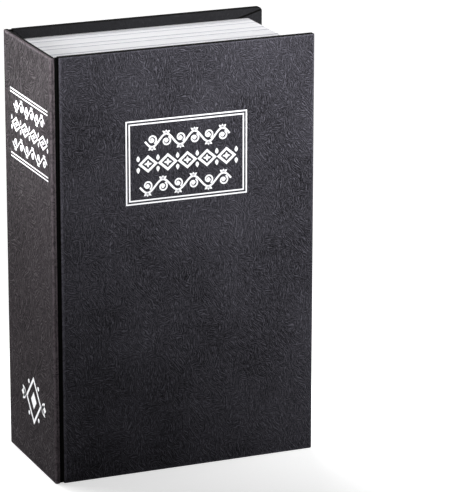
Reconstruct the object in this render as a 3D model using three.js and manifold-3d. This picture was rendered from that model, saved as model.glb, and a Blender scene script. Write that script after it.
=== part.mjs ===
// A hard-cover book that hides a small steel safe. Covered boards and a moulded page block make the outside.
// Inside are a steel tray, a hinged lid and a lock with three number wheels and a thumb slide.
// Millimetres, +Z up. The book stands on its lower edge, the front cover facing -Y and the spine at -X.
// The origin is the middle of the lower edge. Inside the book group, x is counted from the spine's outer face,
// y from the front cover's outer face and z from the lower edge.
import * as THREE from "three";
import { mergeVertices } from "three/addons/utils/BufferGeometryUtils.js";
import Module from "manifold-3d";

const wasm = await Module();
wasm.setup();

// Whole book
const bookHeight = 180;
const bookWidth = 115;
const bookThickness = 57;

// Boards, the cloth wrapped round them and the joints between them
const boardThickness = 2.0;
const spineBoardThickness = 1.4;
const clothThickness = 0.4;
const clothRound = 0.6;
const hemWidth = 12;
const spineHemWidth = 3;
const frontCornerRadius = 0.9;
const backCornerRadius = 2.5;
const jointCornerRadius = 0.9;
const spineSetback = 0.4;
const spineRound = 0.9;
const grooveWidth = 1.8;
const grooveDepth = 1.7;
const jointEndMargin = 1.0;

// Page block and the black lining round the lid
const headSquare = 4.3;
const foreSquare = 6.0;
const coverGap = 0.3;
const pageWall = 1.8;
const pageFlange = 1.6;
const pageRim = 0.8;
const pageLineDepth = 0.25;
const pageLineWidth = 0.4;
const pageLineShares = [0.09, 0.22, 0.37, 0.55, 0.66, 0.83, 0.93];
const liningThickness = 0.4;

// Steel tray and its rim
const traySpineGap = 1.0;
const trayForeGap = 7.8;
const trayEndMargin = 10;
const traySheet = 1.0;
const rimSheet = 1.0;
const rimWidth = 6.0;

// Steel lid with its pressed pocket
const lidSheet = 1.0;
const lidDrop = 0.7;
const lidSeatGap = 0.3;
const lidSideGap = 1.1;
const lidEndGap = 0.6;
const pocketDepth = 5.5;
const pocketSlope = 6.0;
const pocketEndSlope = 4.0;
const pocketEndMargin = 6.0;
const bandSpineSide = 10.6;
const bandForeSide = 14.5;

// Lid hinge
const hingeEndMargin = 10;
const knuckleCount = 5;
const barrelRadius = 1.5;
const pinRadius = 0.8;
const pinOverhang = 0.5;
const leafThickness = 0.8;
const trayLeafDepth = 13;
const lidLeafWidth = 11;
const barrelClearance = 0.5;
const rivetRadius = 0.9;
const rivetHeadRadius = 2.0;
const rivetHeadHeight = 0.5;
const rivetShares = [0.12, 0.5, 0.88];
const domeShares = [0, 0.35, 0.7, 1];

// Clearance between pieces that turn or slide on each other, and how far a cutter runs past a face
const runningGap = 0.3;
const overrun = 1.0;

// Lock plate and lock case
const plateWidth = 25;
const plateFootMargin = 4.1;
const plateThickness = 2.2;
const plateRound = 0.7;
const plateCornerRadius = 1.4;
const windowWidth = 10.2;
const windowHeight = 5.5;
const windowPitch = 7.25;
const windowCount = 3;
const firstWindowDrop = 13.6;
const caseInset = 2.0;
const caseWall = 0.8;
const caseFlangeWidth = 1.6;
const bulkheadThickness = 1.0;
const bulkheadGap = 0.4;
const lockScrewRadius = 0.8;
const lockScrewHeadRadius = 1.8;
const lockScrewHeadHeight = 1.2;
const lockScrewLength = 8;
const lockBossRadius = 2.2;
const lockBossInset = 4.0;

// Number wheels
const dialRadius = 6.0;
const dialHeight = 5.0;
const dialSink = 0.4;
const dialGrooveDepth = 0.45;
const dialLandShare = 0.8;
const landShares = [-0.5, -0.25, 0, 0.25, 0.5];
const digitCount = 10;
const sleeveRadius = 2.1;
const keyHeight = 0.5;
const keyWidth = 0.8;
const axleRadius = 1.2;
const axleHeadRadius = 2.0;
const axleHeadHeight = 0.8;
const axleSpringLength = 2.9;
const axleTopOverhang = 0.9;
const camRadius = 2.7;
const camThickness = 1.4;
const camFlatGap = 0.25;
const detentSheet = 0.4;
const detentHeight = 3.8;
const detentRootShare = 1 / 2;
const detentBendShare = 1 / 3;
const detentEndShare = 1 / 4;

// Thumb slide, bolt and fence
const knobSpacing = 18.8;
const knobRadius = 9.0;
const knobHeight = 2.5;
const knobRound = 1.0;
const dishRadius = 6.3;
const dishDepth = 1.5;
const dishShares = [0, 0.25, 0.5, 0.75, 1];
const rimShares = [0, 0.33, 0.67, 1];
const knobBossRadius = 3.0;
const boltWidth = 10;
const boltThickness = 1.6;
const boltTail = 5.0;
const boltTipGap = 0.6;
const boltNose = 2.0;
const boltGap = 0.4;
const fenceSheet = 0.8;
const fenceWidth = 6.4;
const fenceBite = 0.3;
const toothWidth = 0.6;
const toothThickness = 1.0;
const toothClearance = 0.15;
const toothTopGap = 0.5;
const knobScrewRadius = 0.8;
const knobScrewHeadRadius = 2.2;
const knobScrewHeadHeight = 1.0;
const knobScrewReach = 4.5;

// Lever that sets a new number, on the back of the lock
const leverShaftRadius = 1.5;
const leverShaftReach = 9.5;
const leverLength = 9.0;
const leverWidth = 3.0;
const leverThickness = 1.2;

// Steps of an arc in an outline, of a round edge, and of a small and a large turned piece
const arcSteps = 6;
const roundSteps = 2;
const smallSteps = 20;
const largeSteps = 48;

// Places that follow from the sizes above
const coverThickness = boardThickness + 2 * clothThickness;
const spineThickness = spineBoardThickness + 2 * clothThickness;
const coverStart = spineThickness + grooveWidth;
const innerBack = bookThickness - coverThickness;
const pageFront = coverThickness + coverGap;
const pageEnd = bookWidth - foreSquare;
const flangeFront = pageFront + liningThickness;
const trayStart = spineThickness + traySpineGap;
const trayEnd = pageEnd - trayForeGap;
const trayBottom = trayEndMargin;
const trayTop = bookHeight - trayEndMargin;
const lidFront = pageFront + lidDrop;
const pocketFloor = lidFront + pocketDepth;
const lidBack = pocketFloor + lidSheet;
const rimFront = lidBack + lidSeatGap;
const rimBack = rimFront + rimSheet;
const rimEdge = trayEnd - rimWidth;
const hingeX = trayStart + traySheet + leafThickness;
const hingeY = lidFront + barrelRadius;
const hingeBottom = trayBottom + hingeEndMargin;
const hingeLength = trayTop - hingeEndMargin - hingeBottom;
const lidStart = hingeX + barrelRadius + barrelClearance;
const leafStart = hingeY + barrelRadius + barrelClearance;
const knobDrop = firstWindowDrop + (windowCount - 1) * windowPitch + knobSpacing;
const plateHeight = knobDrop + knobRadius + plateFootMargin;
const caseWidth = plateWidth - 2 * caseInset;
const caseHeight = plateHeight - 2 * caseInset;
const lockX = trayEnd - bandForeSide - plateWidth / 2;
const lockZ = bookHeight / 2;
const plateFront = pocketFloor - plateThickness;
const dialY = plateFront + dialSink + dialRadius;
const fenceFront = dialY + dialRadius + runningGap;
const caseFloor = fenceFront + fenceSheet + runningGap;
const caseBack = caseFloor + caseWall;
const knobZ = plateHeight / 2 - knobDrop;
const boltFront = rimBack + boltGap;
const boltBack = boltFront + boltThickness;
const toothTip = camRadius - fenceBite;
const halfBite = Math.sqrt(camRadius ** 2 - toothTip ** 2);
const latchTravel = 2 * (halfBite + toothClearance) + toothWidth;
const dialHeights = Array.from(
  { length: windowCount },
  (_, n) => plateHeight / 2 - firstWindowDrop - n * windowPitch,
);
const lowestCam = dialHeights.at(-1) - dialHeight / 2 - camThickness;
const highestDial = dialHeights[0] + dialHeight / 2;
const lowBulkhead = lowestCam - bulkheadGap - bulkheadThickness;
const highBulkhead = highestDial + bulkheadGap;
const axleTop = highBulkhead + bulkheadThickness + axleTopOverhang;
const leverZ = axleTop + runningGap + leverShaftRadius;

// Materials
function material(color, roughness, metalness = 0) {
  return () =>
    new THREE.MeshStandardMaterial({ color, roughness, metalness, flatShading: true });
}
const coverCloth = material("#37363a", 0.55);
const spineCloth = material("#3d3a3c", 0.55);
const blackPaper = material("#101012", 0.7);
const greyBoard = material("#8f897d", 0.9);
const pageWhite = material("#f1f1f3", 0.4);
const hammeredSteel = material("#3b4149", 0.45, 0.6);
const plainSteel = material("#9a9ca0", 0.35, 1);
const blackPlastic = material("#161616", 0.45);
const dialCream = material("#e6dfd2", 0.5);
const brassMetal = material("#b08d4a", 0.35, 1);

// A closed three.js geometry as a manifold solid, its faces turned outwards
function solid(geometry) {
  const bare = new THREE.BufferGeometry().setAttribute(
    "position",
    geometry.getAttribute("position"),
  );
  if (geometry.index) bare.setIndex(geometry.index);
  const welded = mergeVertices(bare);
  const make = (triVerts) =>
    new wasm.Manifold(
      new wasm.Mesh({
        numProp: 3,
        vertProperties: welded.attributes.position.array,
        triVerts,
      }),
    );
  const faces = new Uint32Array(welded.index.array);
  const made = make(faces);
  return made.volume() > 0 ? made : make(faces.reverse());
}

// The coordinates of a point that lies (u, v) across an axis and w along it
function placed(axis, u, v, w) {
  if (axis === "x") return [w, u, v];
  if (axis === "y") return [u, w, v];
  return [u, v, w];
}

// A rectangle on the two axes across the third, its corners rounded by one radius or by four
function rectangle([u0, u1], [v0, v1], radii = 0) {
  const [r0, r1, r2, r3] = Array.isArray(radii) ? radii : Array(4).fill(radii);
  const outline = new THREE.Shape();
  const turn = Math.PI / 2;
  const corner = (u, v, radius, start) =>
    radius > 0
      ? outline.absarc(u, v, radius, start, start + turn)
      : outline.lineTo(u, v);
  outline.moveTo(u0 + r0, v0);
  outline.lineTo(u1 - r1, v0);
  corner(u1 - r1, v0 + r1, r1, -turn);
  outline.lineTo(u1, v1 - r2);
  corner(u1 - r2, v1 - r2, r2, 0);
  outline.lineTo(u0 + r3, v1);
  corner(u0 + r3, v1 - r3, r3, turn);
  outline.lineTo(u0, v0 + r0);
  corner(u0 + r0, v0 + r0, r0, 2 * turn);
  return outline;
}

// An outline of straight lines
function polygon(points) {
  return new THREE.Shape(points.map(([u, v]) => new THREE.Vector2(u, v)));
}

// An outline run along an axis, with its two end faces exactly in place and their edges rounded if asked
function prism(outline, axis, [from, to], round = 0) {
  const length = to - from;
  const geometry = new THREE.ExtrudeGeometry(outline, {
    depth: length - 2 * round,
    steps: 1,
    curveSegments: arcSteps,
    bevelEnabled: round > 0,
    bevelThickness: round,
    bevelSize: round,
    bevelOffset: -round,
    bevelSegments: roundSteps,
  });
  const position = geometry.getAttribute("position");
  const nearly = 1e-5;
  for (let i = 0; i < position.count; i++) {
    const share = (position.getZ(i) + round) / length;
    const ended = share < nearly ? from : share > 1 - nearly ? to : from + share * length;
    position.setXYZ(i, ...placed(axis, position.getX(i), position.getY(i), ended));
  }
  return solid(geometry);
}

// A box between three pairs of limits
function block(x, y, z) {
  return prism(rectangle(x, y), "z", z);
}

// A profile of [radius, place along the axis] turned round an axis through a point
function turned(profile, axis, [cu, cv], steps = smallSteps) {
  const points = profile.map(([radius, along]) => new THREE.Vector2(radius, along));
  const geometry = new THREE.LatheGeometry(points, steps);
  const position = geometry.getAttribute("position");
  for (let i = 0; i < position.count; i++) {
    const across = [cu + position.getX(i), cv + position.getZ(i)];
    position.setXYZ(i, ...placed(axis, ...across, position.getY(i)));
  }
  return solid(geometry);
}

// A plain round rod
function rod(axis, centre, radius, [from, to], steps = smallSteps) {
  const profile = [
    [0, from],
    [radius, from],
    [radius, to],
    [0, to],
  ];
  return turned(profile, axis, centre, steps);
}

// The space between two rectangles at two depths, for a pocket with sloping walls
function tapered(depths, spans) {
  const corners = [];
  depths.forEach((y, n) => {
    const [[x0, x1], [z0, z1]] = spans[n];
    corners.push(x0, y, z0, x1, y, z0, x1, y, z1, x0, y, z1);
  });
  const quads = [
    [0, 1, 2, 3],
    [7, 6, 5, 4],
    [0, 4, 5, 1],
    [1, 5, 6, 2],
    [2, 6, 7, 3],
    [3, 7, 4, 0],
  ];
  const index = quads.flatMap(([a, b, c, d]) => [a, b, c, a, c, d]);
  const geometry = new THREE.BufferGeometry();
  geometry.setAttribute("position", new THREE.Float32BufferAttribute(corners, 3));
  geometry.setIndex(index);
  return solid(geometry);
}

const joined = (...solids) => solids.reduce((a, b) => a.add(b));
const cut = (base, ...cutters) => cutters.reduce((a, b) => a.subtract(b), base);
const around = (middle, size) => [middle - size / 2, middle + size / 2];
const grown = ([from, to], by) => [from - by, to + by];
const ordered = (a, b) => (a < b ? [a, b] : [b, a]);

// A named mesh from a manifold solid
function piece(name, made, finish) {
  const { numProp, vertProperties, triVerts, numVert } = made.getMesh();
  const points = new Float32Array(numVert * 3);
  for (let i = 0; i < numVert; i++) {
    points.set(vertProperties.subarray(i * numProp, i * numProp + 3), i * 3);
  }
  const geometry = new THREE.BufferGeometry();
  geometry.setAttribute("position", new THREE.BufferAttribute(points, 3));
  geometry.setIndex(new THREE.BufferAttribute(triVerts, 1));
  geometry.computeVertexNormals();
  const mesh = new THREE.Mesh(geometry, finish());
  mesh.name = name;
  return mesh;
}

function group(...children) {
  const made = new THREE.Group();
  if (children.length) made.add(...children);
  return made;
}

// A cover: board, cloth with its turned hem, and the paper pasted inside the hem
function cover(side, cornerRadius, outerFace, innerFace, cloth) {
  const x = [coverStart, bookWidth];
  const z = [0, bookHeight];
  const radii = [jointCornerRadius, cornerRadius, cornerRadius, jointCornerRadius];
  const y = ordered(outerFace, innerFace);
  const boardRadii = radii.map((radius) => radius - clothThickness);
  const boardOutline = rectangle(
    grown(x, -clothThickness),
    grown(z, -clothThickness),
    boardRadii,
  );
  const board = prism(boardOutline, "y", grown(y, -clothThickness));
  const inward = Math.sign(innerFace - outerFace);
  const paperY = ordered(innerFace, innerFace - inward * clothThickness);
  const paperSpan = [grown(x, -hemWidth), grown(z, -hemWidth)];
  const paper = prism(rectangle(...paperSpan), "y", paperY);
  const wrap = prism(rectangle(x, z, radii), "y", y, clothRound);
  return [
    piece(`${side}_cover_board`, board, greyBoard),
    piece(`${side}_cover_cloth`, cut(wrap, board, paper), cloth),
    piece(`${side}_endpaper`, paper, blackPaper),
  ];
}

// The spine: a narrow covered board with rounded long edges
function spine() {
  const x = [0, spineThickness];
  const y = [spineSetback, bookThickness - spineSetback];
  const z = [0, bookHeight];
  const boardOutline = rectangle(
    grown(x, -clothThickness),
    grown(y, -clothThickness),
    spineRound - clothThickness,
  );
  const board = prism(boardOutline, "z", grown(z, -clothThickness));
  const liningX = [spineThickness - clothThickness, spineThickness];
  const lining = block(liningX, grown(y, -spineHemWidth), grown(z, -hemWidth));
  const wrap = prism(rectangle(x, y, spineRound), "z", z);
  return [
    piece("spine_board", board, greyBoard),
    piece("spine_cloth", cut(wrap, board, lining), spineCloth),
    piece("spine_lining", lining, blackPaper),
  ];
}

// The strips of cloth at the floor of the two grooves, where the covers meet the spine
function joints() {
  const x = [spineThickness, coverStart];
  const z = grown([0, bookHeight], -jointEndMargin);
  const front = [grooveDepth, grooveDepth + clothThickness];
  const back = front.map((depth) => bookThickness - depth).reverse();
  return [
    piece("front_joint_cloth", block(x, front, z), blackPaper),
    piece("back_joint_cloth", block(x, back, z), blackPaper),
  ];
}

// The moulded page block: three walls with page lines, and a flange that frames the lid
function pageBlock() {
  const x = [spineThickness, pageEnd];
  const y = [pageFront, innerBack];
  const z = [headSquare, bookHeight - headSquare];
  const hollow = block(
    [x[0] - overrun, pageEnd - pageWall],
    [flangeFront + pageFlange, innerBack + overrun],
    grown(z, -pageWall),
  );
  const mouth = block(
    [x[0] - overrun, trayEnd + lidSideGap + liningThickness],
    [pageFront - overrun, flangeFront + pageFlange + overrun],
    grown([trayBottom, trayTop], lidEndGap + liningThickness),
  );
  const rebate = block(
    [x[0] - overrun, pageEnd - pageRim],
    [pageFront - overrun, flangeFront],
    grown(z, -pageRim),
  );
  const lines = pageLineShares.map((share) => {
    const middle = flangeFront + share * (innerBack - flangeFront);
    const across = around(middle, pageLineWidth);
    const outside = block([x[0] - overrun, pageEnd + overrun], across, grown(z, overrun));
    const inside = block(
      [x[0] - 2 * overrun, pageEnd - pageLineDepth],
      grown(across, overrun),
      grown(z, -pageLineDepth),
    );
    return cut(outside, inside);
  });
  return piece(
    "page_block",
    cut(block(x, y, z), hollow, mouth, rebate, ...lines),
    pageWhite,
  );
}

// Black card on the flange, with a lip that goes down beside the lid
function ledgeLining() {
  const z = grown([headSquare, bookHeight - headSquare], -pageRim);
  const mouthEnd = trayEnd + lidSideGap;
  const mouthZ = grown([trayBottom, trayTop], lidEndGap);
  const sheet = block([spineThickness, pageEnd - pageRim], [pageFront, flangeFront], z);
  const lip = block(
    [spineThickness, mouthEnd + liningThickness],
    [pageFront, lidBack],
    grown(mouthZ, liningThickness),
  );
  const mouth = block(
    [spineThickness - overrun, mouthEnd],
    [pageFront - overrun, lidBack + overrun],
    mouthZ,
  );
  return piece("ledge_lining", cut(joined(sheet, lip), mouth), blackPaper);
}

// The steel tray: a back and four walls, the one at the spine higher to carry the hinge
function tray() {
  const x = [trayStart, trayEnd];
  const z = [trayBottom, trayTop];
  const shell = block(x, [rimBack, innerBack], z);
  const hingeWall = block([trayStart, trayStart + traySheet], [leafStart, innerBack], z);
  const hollow = block(
    grown(x, -traySheet),
    [leafStart - overrun, innerBack - traySheet],
    grown(z, -traySheet),
  );
  return cut(joined(shell, hingeWall), hollow, ...rivetPlaces.map(trayRivetHole));
}

// The flat rim on three walls: the lid rests over it and the bolt slides under its long side
function trayRim() {
  const plate = block(
    [trayStart + traySheet, trayEnd],
    [rimFront, rimBack],
    [trayBottom, trayTop],
  );
  const mouth = block(
    [trayStart, rimEdge],
    grown([rimFront, rimBack], overrun),
    grown([trayBottom, trayTop], -rimWidth),
  );
  return piece("tray_rim", cut(plate, mouth), hammeredSteel);
}

// The rivets that hold each leaf of the hinge
const rivetPlaces = rivetShares.map((share) => hingeBottom + share * hingeLength);
const trayRivetY = leafStart + trayLeafDepth / 2;
const lidRivetX = lidStart + lidLeafWidth / 2;

function trayRivetHole(z) {
  const through = [trayStart - overrun, hingeX + overrun];
  return rod("x", [trayRivetY, z], rivetRadius + runningGap, through);
}

function lidRivetHole(z) {
  const through = [lidFront - overrun, lidFront + lidSheet + leafThickness + overrun];
  return rod("y", [lidRivetX, z], rivetRadius + runningGap, through);
}

// A rivet with a low domed head at each end of its grip
function rivet(name, axis, centre, [from, to]) {
  const quarter = Math.PI / 2;
  const dome = (face, away) =>
    domeShares.map((share) => [
      rivetHeadRadius * Math.cos(quarter * share),
      face + away * rivetHeadHeight * Math.sin(quarter * share),
    ]);
  const near = dome(from, -1).reverse();
  const far = dome(to, 1);
  near[0][0] = 0;
  far.at(-1)[0] = 0;
  const profile = [...near, [rivetRadius, from], [rivetRadius, to], ...far];
  return piece(name, turned(profile, axis, centre), plainSteel);
}

// The hinge: two leaves whose knuckles take turns along one pin
function lidHinge() {
  const length = hingeLength / knuckleCount;
  const centre = [hingeX, hingeY];
  const bore = rod("z", centre, pinRadius + runningGap, [0, bookHeight]);
  const hingeZ = [hingeBottom, hingeBottom + hingeLength];
  const knuckles = (first, tongueX, tongueY) => {
    const made = [];
    for (let n = first; n < knuckleCount; n += 2) {
      const span = [
        hingeBottom + n * length + (n > 0 ? runningGap / 2 : 0),
        hingeBottom + (n + 1) * length - (n < knuckleCount - 1 ? runningGap / 2 : 0),
      ];
      made.push(rod("z", centre, barrelRadius, span), block(tongueX, tongueY, span));
    }
    return made;
  };
  const trayLeafX = [hingeX - leafThickness, hingeX];
  const trayLeaf = joined(
    block(trayLeafX, [leafStart, leafStart + trayLeafDepth], hingeZ),
    ...knuckles(0, trayLeafX, [hingeY, leafStart + overrun]),
  );
  const lidLeafY = [lidFront + lidSheet, lidFront + lidSheet + leafThickness];
  const lidLeaf = joined(
    block([lidStart, lidStart + lidLeafWidth], lidLeafY, hingeZ),
    ...knuckles(1, [hingeX, lidStart + overrun], lidLeafY),
  );
  const pin = rod("z", centre, pinRadius, grown(hingeZ, pinOverhang));
  const drilledTrayLeaf = cut(trayLeaf, bore, ...rivetPlaces.map(trayRivetHole));
  const drilledLidLeaf = cut(lidLeaf, bore, ...rivetPlaces.map(lidRivetHole));
  const fixed = [
    piece("tray_hinge_leaf", drilledTrayLeaf, plainSteel),
    piece("hinge_pin", pin, plainSteel),
  ];
  const moving = [piece("lid_hinge_leaf", drilledLidLeaf, plainSteel)];
  rivetPlaces.forEach((z, n) => {
    const trayGrip = [trayStart, hingeX];
    const lidGrip = [lidFront, lidFront + lidSheet + leafThickness];
    fixed.push(rivet(`tray_rivet_${n + 1}`, "x", [trayRivetY, z], trayGrip));
    moving.push(rivet(`lid_rivet_${n + 1}`, "y", [lidRivetX, z], lidGrip));
  });
  return { fixed, moving };
}

// The pocket that sinks the lock below the lid's face; it runs out at the lid's free edge
function pocket(back, growth) {
  const floorX = lockX - plateWidth / 2 - bandSpineSide;
  const slopes = { side: pocketSlope / pocketDepth, end: pocketEndSlope / pocketDepth };
  const widen = (slope) => growth * (Math.hypot(1, slope) - slope);
  const span = (y) => {
    const rise = back - y;
    const start = floorX - slopes.side * rise - widen(slopes.side);
    const margin = pocketEndMargin + pocketEndSlope - slopes.end * rise;
    const z = grown([trayBottom, trayTop], widen(slopes.end) - margin);
    return [[start, trayEnd + overrun], z];
  };
  const front = lidFront - overrun;
  return tapered([front, back], [span(front), span(back)]);
}

// The lid: a shallow pressed pan, open at the hinge, with the pocket and the hole for the lock
function lid() {
  const z = [trayBottom, trayTop];
  const pan = cut(block([lidStart, trayEnd], [lidFront, lidBack], z), pocket(pocketFloor, 0));
  const hollow = block(
    [lidStart - overrun, trayEnd - lidSheet],
    [lidFront + lidSheet, lidBack + overrun],
    grown(z, -lidSheet),
  );
  const inside = cut(hollow, pocket(lidBack + overrun, lidSheet));
  const lockHole = block(
    around(lockX, caseWidth + 2 * runningGap),
    [lidFront, lidBack + overrun],
    around(lockZ, caseHeight + 2 * runningGap),
  );
  const shell = cut(pan, inside, lockHole, ...rivetPlaces.map(lidRivetHole));
  return piece("safe_lid", shell, hammeredSteel);
}

// The two screws that clamp the lid between the lock plate and the case, on opposite corners
const lockScrewPlaces = [1, -1].map((side) => [
  side * (caseWidth / 2 - lockBossInset),
  side * (caseHeight / 2 - lockBossInset + caseWall / 2),
]);

function lockPlate() {
  const outline = rectangle(around(0, plateWidth), around(0, plateHeight), plateCornerRadius);
  const raw = prism(outline, "y", [plateFront, pocketFloor + 2 * plateRound], plateRound);
  const trim = block(
    around(0, plateWidth + 2 * overrun),
    [pocketFloor, pocketFloor + 2 * plateRound + overrun],
    around(0, plateHeight + 2 * overrun),
  );
  const through = grown([plateFront, pocketFloor], overrun);
  const windows = dialHeights.map((z) =>
    block(around(0, windowWidth), through, around(z, windowHeight)),
  );
  const slotReach = knobBossRadius + runningGap;
  const slot = prism(
    rectangle([-slotReach, slotReach + latchTravel], around(knobZ, 2 * slotReach), slotReach),
    "y",
    through,
  );
  const bosses = lockScrewPlaces.map((centre) =>
    rod("y", centre, lockBossRadius, [plateFront + plateRound, caseFloor]),
  );
  const holes = lockScrewPlaces.map((centre) =>
    rod("y", centre, lockScrewRadius + runningGap, [
      caseBack - lockScrewLength - runningGap,
      caseBack,
    ]),
  );
  const body = cut(cut(raw, trim), ...windows, slot);
  return piece("lock_plate", cut(joined(body, ...bosses), ...holes), blackPlastic);
}

// The case behind the lid: walls, a flange that bears on the lid's back and two bulkheads for the axle
function lockCase() {
  const x = around(0, caseWidth);
  const z = around(0, caseHeight);
  const innerX = grown(x, -caseWall);
  const shell = block(x, [pocketFloor, caseBack], z);
  const flange = block(
    grown(x, caseFlangeWidth),
    [lidBack, lidBack + caseWall],
    grown(z, caseFlangeWidth),
  );
  const hollow = block(innerX, [pocketFloor - overrun, caseFloor], grown(z, -caseWall));
  const bulkheads = [lowBulkhead, highBulkhead].map((bottom) =>
    block(
      grown(innerX, caseWall / 2),
      [pocketFloor + bulkheadGap, fenceFront - bulkheadGap],
      [bottom, bottom + bulkheadThickness],
    ),
  );
  const axleBore = rod("z", [0, dialY], axleRadius + runningGap, around(0, caseHeight));
  const boltSlot = block(
    [x[1] - caseWall - overrun, x[1] + overrun],
    grown([boltFront, boltBack], runningGap),
    around(knobZ, boltWidth + 2 * runningGap),
  );
  const through = grown([caseFloor, caseBack], overrun);
  const leverHole = rod("y", [0, leverZ], leverShaftRadius + runningGap, through);
  const screwHoles = lockScrewPlaces.map((centre) =>
    rod("y", centre, lockScrewRadius + runningGap, through),
  );
  const ribs = bulkheads.map((bulkhead) => cut(bulkhead, axleBore));
  const walls = cut(joined(shell, flange), hollow, boltSlot, leverHole, ...screwHoles);
  return piece("lock_case", joined(walls, ...ribs), blackPlastic);
}

function lockScrews() {
  return lockScrewPlaces.map((centre, n) => {
    const profile = [
      [0, caseBack - lockScrewLength],
      [lockScrewRadius, caseBack - lockScrewLength],
      [lockScrewRadius, caseBack],
      [lockScrewHeadRadius, caseBack],
      [lockScrewHeadRadius, caseBack + lockScrewHeadHeight / 2],
      [lockScrewHeadRadius - lockScrewHeadHeight / 2, caseBack + lockScrewHeadHeight],
      [0, caseBack + lockScrewHeadHeight],
    ];
    return piece(`lock_screw_${n + 1}`, turned(profile, "y", centre), plainSteel);
  });
}

// A number wheel round the origin: ten lands with grooves between them, and a bore with ten key ways
function dialSolid() {
  const step = (2 * Math.PI) / digitCount;
  const points = [];
  for (let n = 0; n < digitCount; n++) {
    const middle = n * step - Math.PI / 2;
    landShares.forEach((share) => {
      const angle = middle + share * dialLandShare * step;
      points.push([dialRadius * Math.cos(angle), dialRadius * Math.sin(angle)]);
    });
    const groove = middle + step / 2;
    const floor = dialRadius - dialGrooveDepth;
    points.push([floor * Math.cos(groove), floor * Math.sin(groove)]);
  }
  const z = [0, dialHeight];
  const bore = rod("z", [0, 0], sleeveRadius + runningGap, grown(z, overrun));
  const keyWay = block(
    [0, sleeveRadius + keyHeight + runningGap],
    around(0, keyWidth + 2 * runningGap),
    grown(z, overrun),
  );
  const ways = Array.from({ length: digitCount }, (_, n) =>
    keyWay.rotate([0, 0, (360 * n) / digitCount - 90]),
  );
  return cut(prism(polygon(points), "z", z), bore, ...ways);
}

// The sleeve inside a wheel, with its key and its cam, whose flat lets the fence pass at nought
function sleeveSolid() {
  const z = [-camThickness, dialHeight];
  const tube = rod("z", [0, 0], sleeveRadius, z);
  const key = block(around(0, keyWidth), [-sleeveRadius - keyHeight, 0], [0, dialHeight]);
  const cam = rod("z", [0, 0], camRadius, [-camThickness, 0], largeSteps);
  const flat = block(
    around(0, 2 * camRadius + overrun),
    [toothTip - camFlatGap, camRadius + overrun],
    [-camThickness - overrun, 0],
  );
  const bore = rod("z", [0, 0], axleRadius + runningGap, grown(z, overrun));
  return cut(joined(tube, key, cut(cam, flat)), bore);
}

function numberWheels() {
  const dial = dialSolid();
  const sleeve = sleeveSolid();
  return dialHeights.map((z, n) => {
    const wheel = group(
      piece(`number_wheel_${n + 1}`, dial, dialCream),
      piece(`wheel_sleeve_${n + 1}`, sleeve, brassMetal),
    );
    wheel.position.set(0, dialY, z - dialHeight / 2);
    return wheel;
  });
}

// The axle with its head, and the spring that pushes it back after the number is changed
function axle() {
  const headTop = lowBulkhead - axleSpringLength;
  const centre = [0, dialY];
  const shaft = joined(
    rod("z", centre, axleHeadRadius, [headTop - axleHeadHeight, headTop]),
    rod("z", centre, axleRadius, [headTop - axleHeadHeight / 2, axleTop]),
  );
  const spring = cut(
    rod("z", centre, axleHeadRadius, [headTop, lowBulkhead]),
    rod("z", centre, axleRadius + runningGap, [headTop - overrun, lowBulkhead + overrun]),
  );
  return [
    piece("wheel_axle", shaft, plainSteel),
    piece("axle_spring", spring, plainSteel),
  ];
}

// A leaf spring on the case wall, with one bent finger to each wheel
function detentSpring() {
  const wall = caseWall - caseWidth / 2;
  const nose = -dialRadius - runningGap;
  const rootY = dialY + detentRootShare * dialRadius;
  const bendY = dialY + detentBendShare * dialRadius;
  const endY = dialY - detentEndShare * dialRadius;
  const bend = (wall + nose) / 2;
  const finger = polygon([
    [wall, rootY],
    [wall, rootY - detentSheet],
    [bend, bendY - detentSheet],
    [nose - detentSheet, dialY],
    [bend, endY],
    [bend + detentSheet, endY - detentSheet],
    [nose, dialY],
    [bend + detentSheet, bendY],
  ]);
  const strip = block(
    [wall, wall + detentSheet],
    [endY - detentSheet, rootY],
    [lowestCam, highestDial],
  );
  const fingers = dialHeights.map((z) => prism(finger, "z", around(z, detentHeight)));
  return piece("detent_spring", joined(strip, ...fingers), plainSteel);
}

// The thumb slide: a round button with a dished face, on a boss that reaches the bolt
function slideKnob() {
  const back = plateFront - runningGap;
  const front = back - knobHeight;
  const quarter = Math.PI / 2;
  const dish = dishShares.map((share) => [
    dishRadius * share,
    front + dishDepth * Math.cos(quarter * share),
  ]);
  const rim = rimShares.map((share) => [
    knobRadius - knobRound * (1 - Math.sin(quarter * share)),
    front + knobRound * (1 - Math.cos(quarter * share)),
  ]);
  const boreEnd = boltFront - knobScrewReach;
  const profile = [
    ...dish,
    ...rim,
    [knobRadius, back],
    [knobBossRadius, back],
    [knobBossRadius, boltFront],
    [knobScrewRadius + runningGap, boltFront],
    [knobScrewRadius + runningGap, boreEnd],
    [0, boreEnd],
  ];
  return piece("slide_knob", turned(profile, "y", [0, knobZ], largeSteps), blackPlastic);
}

// The bolt: a flat tongue that the slide pushes under the tray rim
function latchBolt() {
  const tip = rimEdge - lockX - boltTipGap;
  const half = boltWidth / 2;
  const outline = polygon([
    [-boltTail, knobZ - half],
    [tip - boltNose, knobZ - half],
    [tip, knobZ - half + boltNose],
    [tip, knobZ + half - boltNose],
    [tip - boltNose, knobZ + half],
    [-boltTail, knobZ + half],
  ]);
  const hole = rod(
    "y",
    [0, knobZ],
    knobScrewRadius + runningGap,
    grown([boltFront, boltBack], overrun),
  );
  return piece("latch_bolt", cut(prism(outline, "y", [boltFront, boltBack]), hole), plainSteel);
}

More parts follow.
